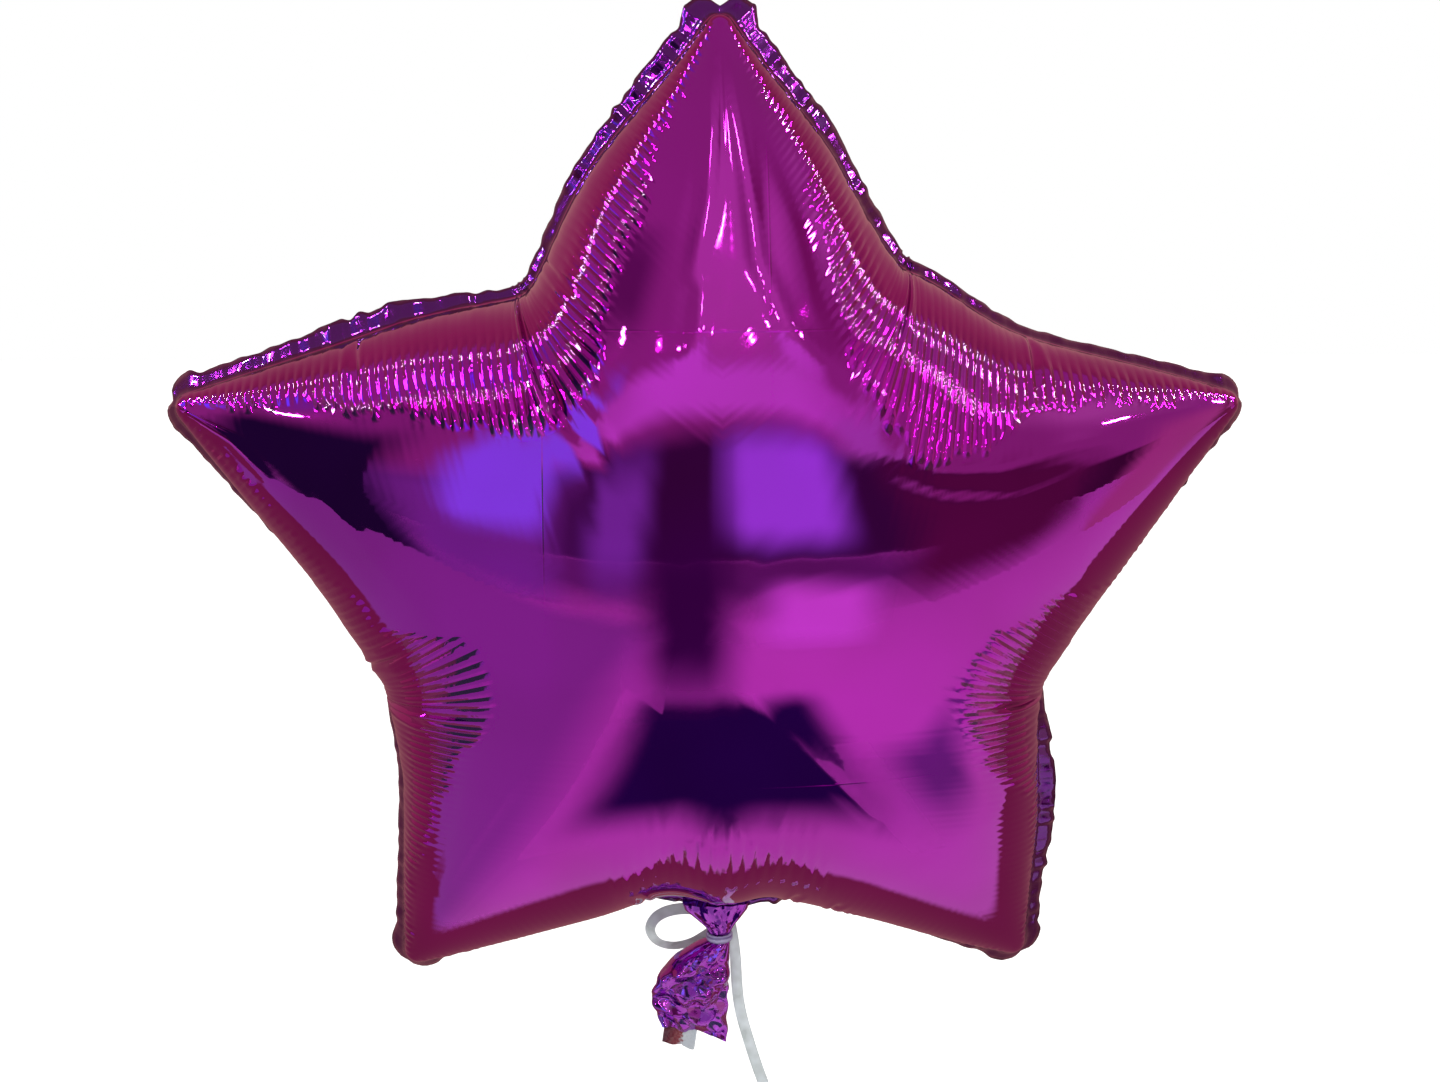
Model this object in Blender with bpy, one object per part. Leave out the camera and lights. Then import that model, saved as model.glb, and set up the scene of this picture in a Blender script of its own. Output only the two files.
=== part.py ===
# Star foil balloon: two films welded round a five-pointed star, with a gathered neck and a ribbon
import math

import bmesh
import bpy
import numpy as np
from mathutils import Vector

# Driving dimensions, in metres
seam_tip_radius = 0.2200
seam_notch_radius = 0.1400
tip_round = 0.006
notch_round = 0.016
half_depth = 0.079
weld_width = 0.0095
tip_lobe = 0.0045
tip_cleft = 0.45
neck_sag = 0.0065
notch_lift = 0.0035
film_pair = 0.0006
pucker_height = 0.0011
pucker_reach_tip = 0.016
pucker_reach_notch = 0.050
notch_crease = 0.0030
neck_half_width = 0.0046
neck_half_depth = 0.0037
neck_drop = 0.0118
tie_height = 0.0034
tie_wall = 0.0011
tail_length = 0.0470
tail_slant = 0.0060
tail_half_depth = 0.0040
valve_width = 0.0145
valve_length = 0.0085
valve_film = 0.0004
ribbon_width = 0.0050
ribbon_film = 0.0005
knot_radius = 0.0029
hand_loop_width = 0.0170
hand_loop_height = 0.0200
rest_gap = 0.0003

# Counts of columns along half an arm, counted from the tip to the notch
tip_columns = 2
arm_columns = 8
notch_columns = 18
neck_columns = 5

# The star in the photo isn't quite regular: gain in radius and turn in degrees, from the top tip on,
# for each arm's tip, the side after it, the notch after that and the next arm's first side
tip_gain = [0.998, 1.032, 1.006, 1.018, 1.030]
side_gain = [1.035, 1.016, 0.988, 1.058, 0.960]
notch_gain = [0.975, 1.042, 1.000, 1.050, 1.032]
next_side_gain = [1.012, 1.003, 0.995, 1.035, 1.055]
tip_turn = [-0.6, 0.1, -1.2, 1.4, -0.3]
notch_turn = [-2.2, 0.8, 1.6, -1.2, 4.5]

# The weld flange at each tip, side, notch and side, in the same order: degrees swept back, and gain in width
weld_turn = [30, 40, 45, 35, 50, 62, 65, 60, 55, 60, 50, 60, 45, 25, 55, 60, 55, 60, 50, 45]
weld_gain = [1.0, 0.9, 0.7, 1.15, 1.0, 0.9, 0.8, 0.8, 1.0, 0.9, 1.0, 0.9, 1.0, 1.2, 0.8, 0.8, 0.8, 0.8, 0.8,
             1.05]

# Where the hand loop sits below the star's centre puts the origin at the loop
end_knot_place = Vector((0.0245, 0.0, -0.2535))
star_centre = Vector((-end_knot_place.x, 0.0, -end_knot_place.z + hand_loop_height + knot_radius))

half_columns = tip_columns + arm_columns + notch_columns
rows = [0.0, 0.010, 0.035, 0.080, 0.150, 0.250, 0.380, 0.550, 0.760, 1.0]
full_rows = 6
solve_rows = 26

for item in list(bpy.data.objects):
    bpy.data.objects.remove(item, do_unlink=True)
for old in list(bpy.data.collections):
    bpy.data.collections.remove(old)
parts = bpy.data.collections.new("star_foil_balloon")
bpy.context.scene.collection.children.link(parts)


def material(name, colour, roughness, metallic=0.0, alpha=1.0):
    made = bpy.data.materials.new(name)
    made.use_nodes = True
    shader = made.node_tree.nodes["Principled BSDF"]
    shader.inputs["Base Color"].default_value = (*colour, 1.0)
    shader.inputs["Roughness"].default_value = roughness
    shader.inputs["Metallic"].default_value = metallic
    shader.inputs["Alpha"].default_value = alpha
    made.diffuse_color = (*colour, alpha)
    return made


def add_object(name, bm, made, smooth=True):
    bmesh.ops.remove_doubles(bm, verts=bm.verts, dist=0.00001)
    bmesh.ops.dissolve_degenerate(bm, edges=bm.edges, dist=0.00001)
    bmesh.ops.recalc_face_normals(bm, faces=bm.faces)
    mesh = bpy.data.meshes.new(name)
    bm.to_mesh(mesh)
    bm.free()
    item = bpy.data.objects.new(name, mesh)
    item.data.materials.append(made)
    parts.objects.link(item)
    if smooth:
        mesh.shade_smooth()
        mesh.set_sharp_from_angle(angle=math.radians(38))
    return item


# Half an arm of the seam: points, outward directions, and the points of the arm's ridge they face
def half_arm():
    tip_centre = np.array([seam_tip_radius - tip_round, 0.0])
    turn = math.radians(36)
    notch_centre = (seam_notch_radius + notch_round) * np.array([math.cos(turn), math.sin(turn)])
    across = notch_centre - tip_centre
    lean = math.atan2(across[1], across[0]) - math.acos((tip_round + notch_round) / np.hypot(*across))
    side = np.array([math.cos(lean), math.sin(lean)])
    first = tip_centre + tip_round * side
    last = notch_centre - notch_round * side
    points = []
    outward = []
    ridge = []
    for i in range(tip_columns):
        angle = lean * i / tip_columns
        ray = np.array([math.cos(angle), math.sin(angle)])
        points.append(tip_centre + tip_round * ray)
        outward.append(ray)
        ridge.append(tip_centre[0])
    arc_columns = 3
    straight = [0.62 * i / arm_columns for i in range(arm_columns)]
    near = notch_columns - arc_columns
    straight += [0.62 + 0.38 * i / near for i in range(near)]
    for share in straight:
        place = first + (last - first) * share
        points.append(place)
        outward.append(side)
        ridge.append(place[0] - place[1] * side[0] / side[1])
    for i in range(arc_columns + 1):
        angle = lean + (turn - lean) * i / arc_columns
        ray = np.array([math.cos(angle), math.sin(angle)])
        place = notch_centre - notch_round * ray
        points.append(place)
        outward.append(ray)
        ridge.append(max(0.0, place[0] - place[1] * ray[0] / ray[1]))
    ridge[-1] = 0.0
    return np.array(points), np.array(outward), np.array(ridge)


# Height of the inflated film over half an arm: the square root of a stretched membrane's rise
def inflate(points, ridge):
    depths = np.linspace(0.0, 1.0, solve_rows) ** 1.6
    axis = np.stack([ridge, np.zeros_like(ridge)], 1)
    grid = points[:, None, :] + (axis - points)[:, None, :] * depths[None, :, None]
    number = {}
    index = np.zeros(grid.shape[:2], int)
    for c in range(grid.shape[0]):
        for r in range(grid.shape[1]):
            key = (round(grid[c, r, 0] * 1e7), round(grid[c, r, 1] * 1e7))
            index[c, r] = number.setdefault(key, len(number))
    place = np.zeros((len(number), 2))
    place[index.ravel()] = grid.reshape(-1, 2)
    stiff = np.zeros((len(number), len(number)))
    load = np.zeros(len(number))
    for c in range(grid.shape[0] - 1):
        for r in range(grid.shape[1] - 1):
            a, b, d, e = index[c, r], index[c + 1, r], index[c + 1, r + 1], index[c, r + 1]
            for tri in ((a, b, d), (a, d, e)):
                if len(set(tri)) < 3:
                    continue
                p = place[list(tri)]
                edge = p[[2, 0, 1]] - p[[1, 2, 0]]
                area = 0.5 * abs(edge[0, 0] * edge[1, 1] - edge[0, 1] * edge[1, 0])
                if area < 1e-14:
                    continue
                stiff[np.ix_(tri, tri)] += edge @ edge.T / (4 * area)
                load[list(tri)] += area / 3
    fixed = np.zeros(len(number), bool)
    fixed[index[:, 0]] = True
    free = ~fixed
    rise = np.zeros(len(number))
    rise[free] = np.linalg.solve(stiff[np.ix_(free, free)], load[free])
    ratio = np.zeros(index.shape)
    ratio[:, 1:] = rise[index][:, 1:] / rise.max() / (depths * (2 - depths))[None, 1:]
    ratio[:, 0] = ratio[:, 1]
    return depths, ratio


def height_at(column, share):
    value = np.interp(share, rise_depths, rise_ratio[column])
    return half_depth * math.sqrt(value * share * (2 - share))


def smooth(value):
    value = min(1.0, max(0.0, value))
    return value * value * (3 - 2 * value)


# The value at an angle, between values spaced evenly round a full turn
def ring_value(values, angle):
    step = (angle % 360) * len(values) / 360
    first = int(step) % len(values)
    following = (first + 1) % len(values)
    return values[first] + (values[following] - values[first]) * smooth(step - int(step))


# The in-plane place of a point, after the small unevenness of the real star and the neck's pull
def warp(x, z):
    radius = math.hypot(x, z)
    angle = math.degrees(math.atan2(z, x)) % 360
    gains = [value for four in zip(tip_gain, side_gain, notch_gain, next_side_gain) for value in four]
    turns = [value for pair in zip(tip_turn, notch_turn) for value in pair]
    gain = ring_value(gains, angle - 90)
    turn = ring_value(turns, angle - 90)
    reach = min(1.0, radius / seam_notch_radius) ** 2
    low = angle - 270
    pull = neck_sag * math.exp(-(low / 5) ** 2) - notch_lift * math.exp(-((low + 11) / 5) ** 2)
    radius = radius * (1 + (gain - 1) * reach) + pull * reach
    angle = math.radians(angle + turn * reach)
    return radius * math.cos(angle), radius * math.sin(angle)


seam_points, seam_outward, seam_ridge = half_arm()
rise_depths, rise_ratio = inflate(seam_points, seam_ridge)
all_columns = 10 * half_columns
bottom_column = 6 * half_columns


# The film's column, its side of the arm and the arm's direction for a column of the whole seam
def column_of(c):
    arm, step = divmod(c % all_columns, 2 * half_columns)
    side = -1.0 if step < half_columns else 1.0
    return abs(step - half_columns), side, math.radians(90 + 72 * arm)


def in_plane(c, share, beyond=0.0):
    column, side, arm = column_of(c)
    point = seam_points[column] + seam_outward[column] * beyond
    axis = np.array([seam_ridge[column], 0.0])
    local = point + (axis - point) * share
    u, v = local[0], local[1] * side
    return warp(u * math.cos(arm) - v * math.sin(arm), u * math.sin(arm) + v * math.cos(arm))


# Neck half width, half depth, middle and pleat height by distance below the notch's cut edge
def tail_section(drop):
    stations = [0.0, neck_drop * 0.55, neck_drop - tie_height * 0.7, neck_drop + tie_height * 0.7]
    stations += [neck_drop + tail_length * share for share in (0.28, 0.45, 0.72, 0.9, 1.0)]
    right = [0.0125, 0.0085, neck_half_width + 0.0019, neck_half_width + 0.0019]
    right += [0.0068, 0.0066, 0.0066, 0.0066, 0.0050]
    left = [-0.0125, -0.0075, 0.0019 - neck_half_width, 0.0019 - neck_half_width]
    left += [-0.0190, -0.0255, -0.0285, -0.0262, -0.0235]
    deep = [0.0042, 0.0044, neck_half_depth, neck_half_depth]
    deep += [tail_half_depth * share for share in (1.0, 1.0, 0.85, 0.6, 0.35)]
    pleat = [0.0006, 0.0009, 0.0, 0.0, 0.0016, 0.0022, 0.0020, 0.0016, 0.0010]
    values = [np.interp(drop, stations, line) for line in (left, right, deep, pleat)]
    return values


chance = np.random.default_rng(11)
column_chance = chance.uniform(0.0, 1.0, (all_columns, 4))


# One film's surface: side is -1 for the front, +1 for the back
def film_point(c, share, side):
    column, _, _ = column_of(c)
    x, z = in_plane(c, share)
    rise = height_at(column, share)
    return np.array([x, side * (film_pair / 2 + rise), z])


def pucker(c, share, side):
    column, _, _ = column_of(c)
    point = seam_points[column]
    distance = share * np.hypot(point[0] - seam_ridge[column], point[1])
    near = smooth((column - tip_columns) / (half_columns - tip_columns - 3))
    luck = column_chance[c % all_columns, 0 if side < 0 else 1]
    reach = pucker_reach_tip + (pucker_reach_notch - pucker_reach_tip) * near
    reach *= 0.7 + 0.6 * luck
    band = smooth(distance / 0.004) * (1 - smooth((distance - reach * 0.4) / (reach * 0.6)))
    height = pucker_height * (0.45 + 0.55 * near) * (0.5 + 1.0 * luck) * band
    height *= 1.0 if column % 2 else -1.0
    if column == half_columns:
        height -= notch_crease * smooth(distance / 0.003) * (1 - smooth(distance / (reach * 1.1)))
    return height


def seam_wave(c):
    column, _, _ = column_of(c)
    near = smooth((column - tip_columns) / (half_columns - tip_columns - 3))
    luck = column_chance[c % all_columns, 2]
    return (0.0005 + 0.0011 * near) * (0.4 + luck) * (1.0 if column % 2 else -1.0)


def build_envelope(made):
    bm = bmesh.new()
    sheets = []
    for side in (-1.0, 1.0):
        base = np.zeros((len(rows), all_columns, 3))
        for r, share in enumerate(rows):
            for c in range(all_columns):
                base[r, c] = film_point(c, share, side)
        along = np.roll(base, -1, 1) - np.roll(base, 1, 1)
        inward = np.zeros_like(base)
        inward[1:-1] = base[2:] - base[:-2]
        inward[0] = base[1] - base[0]
        inward[-1] = base[-1] - base[-2]
        normal = np.cross(along, inward)
        normal /= np.maximum(np.linalg.norm(normal, axis=2, keepdims=True), 1e-9)
        normal *= np.where(normal[..., 1:2] * side < 0, -1.0, 1.0)
        grid = []
        for r, share in enumerate(rows):
            line = []
            for c in range(all_columns):
                place = base[r, c].copy()
                if 0 < r < len(rows) - 1:
                    place += normal[r, c] * pucker(c, share, side)
                fade = 1 - smooth(share / 0.06)
                place[1] += seam_wave(c) * fade
                offset = abs(c - bottom_column)
                if offset < neck_columns and share < 0.005:
                    open_share = math.sqrt(1 - (offset / neck_columns) ** 2)
                    place[1] += side * 0.0045 * open_share
                line.append(bm.verts.new(star_centre + Vector(place)))
            grid.append(line)
        skirt = []
        for c in range(all_columns):
            luck = column_chance[c, 3]
            offset = abs(c - bottom_column)
            column, _, _ = column_of(c)
            x, z = in_plane(c, 0.0)
            angle = math.degrees(math.atan2(z, x)) - 90
            wide = weld_width * ring_value(weld_gain, angle) * (0.88 + 0.24 * luck)
            if 1 <= column <= tip_columns + 1:
                wide += tip_lobe * (0.6 + 0.4 * luck)
            if column == 0:
                wide *= tip_cleft
            sweep = math.radians(ring_value(weld_turn, angle)) * smooth((offset - neck_columns) / 8)
            if offset <= neck_columns:
                wide = weld_width
            x, z = in_plane(c, 0.0, wide * math.cos(sweep))
            y = side * film_pair / 2 + seam_wave(c) * 1.3 + wide * math.sin(sweep)
            if offset < neck_columns:
                y += side * 0.0045 * math.sqrt(1 - (offset / neck_columns) ** 2)
            skirt.append(bm.verts.new(star_centre + Vector((x, y, z))))
        neck = build_neck_rows(bm, skirt, side)
        sheets.append((grid, skirt, neck))
        join_rows(bm, grid, skirt, neck)
    weld_edges(bm, sheets)
    return add_object("envelope", bm, made)


def build_neck_rows(bm, skirt, side):
    first = bottom_column - neck_columns
    count = 2 * neck_columns + 1
    top = [skirt[first + j].co - star_centre for j in range(count)]
    level = min(place.z for place in top)
    drops = [neck_drop * 0.3, neck_drop * 0.55, neck_drop * 0.72]
    drops += [neck_drop - tie_height * 0.7, neck_drop + tie_height * 0.7]
    drops += [neck_drop + tail_length * share for share in (0.2, 0.32, 0.45, 0.58, 0.72, 0.84, 0.94, 1.0)]
    lines = []
    for n, drop in enumerate(drops):
        left, right, deep, pleat = tail_section(drop)
        line = []
        for j in range(count):
            across = 1 - 2 * j / (count - 1)
            place_x = (left + right) / 2 - (right - left) / 2 * across
            crest = math.sqrt(max(0.0, 1 - across * across))
            shared = pleat * math.sin(3.3 * across + 0.9 * n) * min(1.0, n / 6)
            fold = pleat * 0.55 * (1 if j % 2 else -1) * crest
            y = side * (film_pair / 2 + (deep - film_pair / 2) * crest + fold) + shared
            z = level - drop + tail_slant * max(0.0, (drop - neck_drop) / tail_length) ** 2 * (1 + across) / 2
            if n == len(drops) - 1:
                z += 0.0006 * math.sin(5.0 * across)
            blend = smooth((n + 1) / 3)
            wanted = Vector((place_x, y, z))
            start = Vector((top[j].x, top[j].y, level - drop))
            line.append(bm.verts.new(star_centre + start.lerp(wanted, blend)))
        lines.append(line)
    return lines


# Faces of one film: full columns near the seam, every other column over the smooth middle
def join_rows(bm, grid, skirt, neck):
    def face(*corners):
        if len({corner.co.to_tuple(7) for corner in corners}) >= 3:
            bm.faces.new(corners)

    for c in range(all_columns):
        after = (c + 1) % all_columns
        face(skirt[c], skirt[after], grid[0][after], grid[0][c])
        for r in range(full_rows - 1):
            face(grid[r][c], grid[r][after], grid[r + 1][after], grid[r + 1][c])
    for c in range(0, all_columns, 2):
        middle = c + 1
        after = (c + 2) % all_columns
        outer = grid[full_rows - 1]
        inner = grid[full_rows]
        face(outer[c], outer[middle], inner[c])
        face(outer[middle], inner[after], inner[c])
        face(outer[middle], outer[after], inner[after])
        for r in range(full_rows, len(rows) - 1):
            face(grid[r][c], grid[r][after], grid[r + 1][after], grid[r + 1][c])
    for row in grid[full_rows:]:
        for c in range(1, all_columns, 2):
            bm.verts.remove(row[c])
    first = bottom_column - neck_columns
    above = skirt[first:first + 2 * neck_columns + 1]
    for line in neck:
        for j in range(len(line) - 1):
            face(above[j], above[j + 1], line[j + 1], line[j])
        above = line


# Closes the cut edge between the two films, round the star and down the tail
def weld_edges(bm, sheets):
    edges = []
    for _, skirt, neck in sheets:
        first = bottom_column - neck_columns
        last = bottom_column + neck_columns
        loop = [skirt[c % all_columns] for c in range(last, first + all_columns + 1)]
        loop += [line[0] for line in neck]
        loop += neck[-1][1:-1]
        loop += [line[-1] for line in reversed(neck)]
        edges.append(loop)
    front, back = edges
    for i in range(len(front)):
        j = (i + 1) % len(front)
        bm.faces.new((front[i], front[j], back[j], back[i]))


# A strip of film along a smooth curve through the route, its width turned by the given directions
def build_strip(name, made, route, across, width, film, stations):
    count = len(route)
    places = [Vector(point) for point in route]
    sides = [Vector(point).normalized() for point in across]
    line = []
    for s in range(stations):
        share = s / (stations - 1) * (count - 1)
        i = min(count - 2, int(share))
        t = share - i
        before = places[max(0, i - 1)]
        after = places[min(count - 1, i + 2)]
        a, b = places[i], places[i + 1]
        spot = 0.5 * ((2 * a) + (b - before) * t + (2 * before - 5 * a + 4 * b - after) * t * t
                      + (3 * a - before - 3 * b + after) * t * t * t)
        line.append((spot, sides[i].lerp(sides[i + 1], t)))
    bm = bmesh.new()
    rings = []
    for s, (spot, side) in enumerate(line):
        ahead = line[min(s + 1, stations - 1)][0] - line[max(s - 1, 0)][0]
        ahead.normalize()
        wide = (side - ahead * side.dot(ahead)).normalized()
        thick = ahead.cross(wide)
        corners = ((1, 1), (-1, 1), (-1, -1), (1, -1))
        rings.append([bm.verts.new(spot + wide * (u * width / 2) + thick * (v * film / 2))
                      for u, v in corners])
    for ring, following in zip(rings, rings[1:]):
        for k in range(4):
            bm.faces.new((ring[k], ring[(k + 1) % 4], following[(k + 1) % 4], following[k]))
    bm.faces.new(rings[0])
    bm.faces.new(rings[-1])
    return add_object(name, bm, made, smooth=False)


def build_knot(name, made, place, size):
    bpy.ops.mesh.primitive_uv_sphere_add(segments=12, ring_count=8, radius=1.0, location=place)
    item = bpy.context.object
    item.name = name
    for vertex in item.data.vertices:
        spot = vertex.co
        wobble = 1 + 0.10 * math.sin(3 * math.atan2(spot.z, spot.x) + 2.0 * spot.y)
        vertex.co = Vector((spot.x * size[0] * wobble, spot.y * size[1], spot.z * size[2] * wobble))
    for owner in list(item.users_collection):
        owner.objects.unlink(item)
    parts.objects.link(item)
    item.data.name = name
    item.data.materials.append(made)
    item.data.shade_smooth()
    return item


# The ribbon wound round the neck: an oval band with a raised middle turn
def build_tie(made, place):
    segments = 24
    grow = 1 / math.cos(math.pi / segments)
    inner = ((neck_half_width + rest_gap) * grow, (neck_half_depth + rest_gap) * grow)
    half = tie_height / 2
    bands = [(half, 0.0), (half, 0.6), (half * 0.45, 1.0), (half * 0.1, 0.7), (-half * 0.35, 1.0),
             (-half, 0.6), (-half, 0.0)]
    bm = bmesh.new()
    rings = []
    for i in range(segments):
        angle = 2 * math.pi * i / segments
        ring = []
        for level, out in bands:
            a, b = inner[0] + tie_wall * out, inner[1] + tie_wall * out
            tilt = 0.0004 * math.sin(angle)
            corner = Vector((a * math.cos(angle), b * math.sin(angle), level + tilt))
            ring.append(bm.verts.new(place + corner))
        rings.append(ring)
    for i in range(segments):
        ring, following = rings[i], rings[(i + 1) % segments]
        for k in range(len(bands)):
            after = (k + 1) % len(bands)
            bm.faces.new((ring[k], ring[after], following[after], following[k]))
    return add_object("neck_tie", bm, made)


foil = material("foil", (0.23, 0.01, 0.17), 0.12, 0.9)
valve = material("valve_film", (0.42, 0.05, 0.10), 0.25, 0.0)
shine = material("ribbon", (0.62, 0.66, 0.64), 0.28, 0.3)

envelope = build_envelope(foil)

# The neck hangs from the cut edge of the bottom notch
neck_top = min(in_plane(c, 0.0, weld_width)[1]
               for c in range(bottom_column - neck_columns, bottom_column + neck_columns + 1))
tie_place = star_centre + Vector((0.0019, 0.0, neck_top - neck_drop))
tie = build_tie(shine, tie_place)
tail_end = star_centre + Vector((0.0, 0.0, neck_top - neck_drop - tail_length))

# The filling valve's film tongue shows below the tail
tongue_top = tail_end + Vector((-0.0150, 0.0, tail_slant * 0.70 - 0.0006 - rest_gap))
tongue = [tongue_top,
          tongue_top + Vector((-0.0006, -0.0008, -valve_length * 0.35)),
          tongue_top + Vector((-0.0013, -0.0018, -valve_length * 0.7)),
          tongue_top + Vector((-0.0020, -0.0022, -valve_length))]
build_strip("filling_valve", valve, tongue, [(1, 0, -0.22)] * 4, valve_width, valve_film, 7)

# The knot sits behind the tie; the bow loop and the hanging end leave it
knot_place = tie_place + Vector((0.0, neck_half_depth + tie_wall + 3 * rest_gap + knot_radius * 0.8, -0.0002))
build_knot("ribbon_knot", shine, knot_place, (knot_radius * 1.15, knot_radius * 0.8, knot_radius))

# The bow loop's route, as steps from the knot
loop_steps = [(-0.0035, 0.0003, 0.0012), (-0.0102, 0.0004, 0.0084), (-0.0200, -0.0020, 0.0100),
              (-0.0275, -0.0045, 0.0080), (-0.0305, -0.0055, 0.0026), (-0.0275, -0.0040, -0.0040),
              (-0.0200, 0.0006, -0.0088), (-0.0110, 0.0026, -0.0078), (-0.0033, 0.0008, -0.0022)]
loop_sides = [(0.0, 0.4, 1.0), (0.1, 0.4, 1.0), (0.0, 0.5, 1.0), (-0.5, 0.6, 0.7), (-1.0, 0.5, 0.0),
              (-0.8, 0.4, -0.6), (-0.4, 0.3, -1.0), (0.0, 0.3, -1.0), (0.0, 0.3, -1.0)]
loop_route = [knot_place + Vector(step) for step in loop_steps]
build_strip("bow_loop", shine, loop_route, loop_sides, ribbon_width, ribbon_film, 25)

# The hanging end's route, as steps from the star's centre
end_steps = [(0.0070, 0.0070, -0.1650), (0.0080, 0.0062, -0.1700), (0.0088, 0.0053, -0.1755),
             (0.0093, 0.0044, -0.1810), (0.0096, 0.0036, -0.1870), (0.0099, 0.0028, -0.1930),
             (0.0104, 0.0020, -0.1990), (0.0114, 0.0014, -0.2055), (0.0128, 0.0009, -0.2118),
             (0.0145, 0.0006, -0.2180), (0.0162, 0.0002, -0.2240), (0.0180, 0.0, -0.2300),
             (0.0199, 0.0, -0.2360), (0.0219, 0.0, -0.2420), (0.0233, 0.0, -0.2470), (0.0241, 0.0, -0.2500)]
end_sides = [(1.0, 0.5, 0.3), (1.0, 0.5, 0.2), (1.0, 0.4, 0.1), (1.0, 0.2, 0.0)] + [(1.0, 0.0, 0.0)] * 12
end_route = [star_centre + Vector(step) for step in end_steps]
build_strip("ribbon", shine, end_route, end_sides, ribbon_width, ribbon_film, 29)

# The hand loop and its knot, just below the photo's edge
end_knot = star_centre + end_knot_place
build_knot("end_knot", shine, end_knot, (knot_radius, knot_radius * 0.8, knot_radius))
hand_route = []
hand_sides = []
for i in range(13):
    angle = math.radians(90 + 12 + (360 - 24) * i / 12)
    hand_route.append(end_knot + Vector((hand_loop_width / 2 * math.cos(angle), 0.0,
                                         -knot_radius - hand_loop_height / 2 * (1 - math.sin(angle)))))
    hand_sides.append((0.0, 1.0, 0.0))
build_strip("hand_loop", shine, hand_route, hand_sides, ribbon_width, ribbon_film, 25)
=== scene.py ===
import math

import bmesh
import bpy
import numpy as np
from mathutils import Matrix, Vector


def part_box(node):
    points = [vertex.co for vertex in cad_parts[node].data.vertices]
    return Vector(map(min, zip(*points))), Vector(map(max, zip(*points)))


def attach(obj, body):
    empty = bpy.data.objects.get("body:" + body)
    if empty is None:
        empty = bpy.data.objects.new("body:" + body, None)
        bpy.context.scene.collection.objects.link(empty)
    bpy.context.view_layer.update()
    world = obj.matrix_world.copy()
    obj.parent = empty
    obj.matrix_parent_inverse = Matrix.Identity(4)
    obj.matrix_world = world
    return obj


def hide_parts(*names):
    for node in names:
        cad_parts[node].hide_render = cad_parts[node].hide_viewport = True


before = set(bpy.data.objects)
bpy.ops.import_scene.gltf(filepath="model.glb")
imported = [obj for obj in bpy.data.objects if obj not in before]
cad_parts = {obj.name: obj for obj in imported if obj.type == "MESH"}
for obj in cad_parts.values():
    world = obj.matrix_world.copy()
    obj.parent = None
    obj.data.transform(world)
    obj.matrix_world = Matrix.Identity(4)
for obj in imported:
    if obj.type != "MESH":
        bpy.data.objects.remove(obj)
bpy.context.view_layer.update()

# Camera
# It stands at the photo's angle: close in front of the star, a little above it and to its left.
# The star's centre lies where the CAD model puts it, above the hand loop.
star_centre = Vector((-0.0245, 0.0, 0.2764))
camera_step = Vector((-0.0243, -0.6294, 0.1610))
camera_ahead = Vector((0.0410, 0.9719, -0.2316))
camera_lens = 38.93

camera_data = bpy.data.cameras.new("camera")
camera_data.lens = camera_lens
camera_data.sensor_width = 36.0
camera_data.clip_start = 0.02
camera = bpy.data.objects.new("camera", camera_data)
camera.location = star_centre + camera_step
camera.rotation_euler = camera_ahead.to_track_quat("-Z", "Y").to_euler()
bpy.context.scene.collection.objects.link(camera)
bpy.context.scene.camera = camera


# Ribbon
# Silver-white curling ribbon 5 mm wide: the hanging end, the bow loop and the hand loop.
# It is a soft-sheened plastic with fine lengthwise ribs; every route repeats the CAD model's.
ribbon_width = 0.0050
ribbon_film = 0.0003
ribbon_crown = 0.00022
rib_spacing = 0.000187
ribbon_sides = 14
ribbon_stations = 90
knot_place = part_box("ribbon_knot")
knot_place = (Vector(knot_place[0]) + Vector(knot_place[1])) / 2


def linear(hex_colour):
    values = [int(hex_colour[i:i + 2], 16) / 255 for i in (1, 3, 5)]
    return [v / 12.92 if v <= 0.04045 else ((v + 0.055) / 1.055) ** 2.4 for v in values] + [1.0]


# Adds a node. Its inputs, by name or in order, are values or the nodes and outputs that feed them
def add_node(tree, kind, inputs=(), **settings):
    node = tree.nodes.new(kind)
    for name, value in settings.items():
        if hasattr(node, name):
            setattr(node, name, value)
        else:
            node.inputs[name.replace("_", " ")].default_value = value
    for socket, source in inputs.items() if isinstance(inputs, dict) else enumerate(inputs):
        if isinstance(source, bpy.types.Node):
            source = source.outputs[0]
        if isinstance(source, bpy.types.NodeSocket):
            tree.links.new(source, node.inputs[socket])
        else:
            node.inputs[socket].default_value = source
    return node


def new_material(name, **sockets):
    made = bpy.data.materials.new(name)
    made.use_nodes = True
    shader = made.node_tree.nodes["Principled BSDF"]
    for socket, value in sockets.items():
        shader.inputs[socket.replace("_", " ")].default_value = value
    return made, made.node_tree, shader


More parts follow.
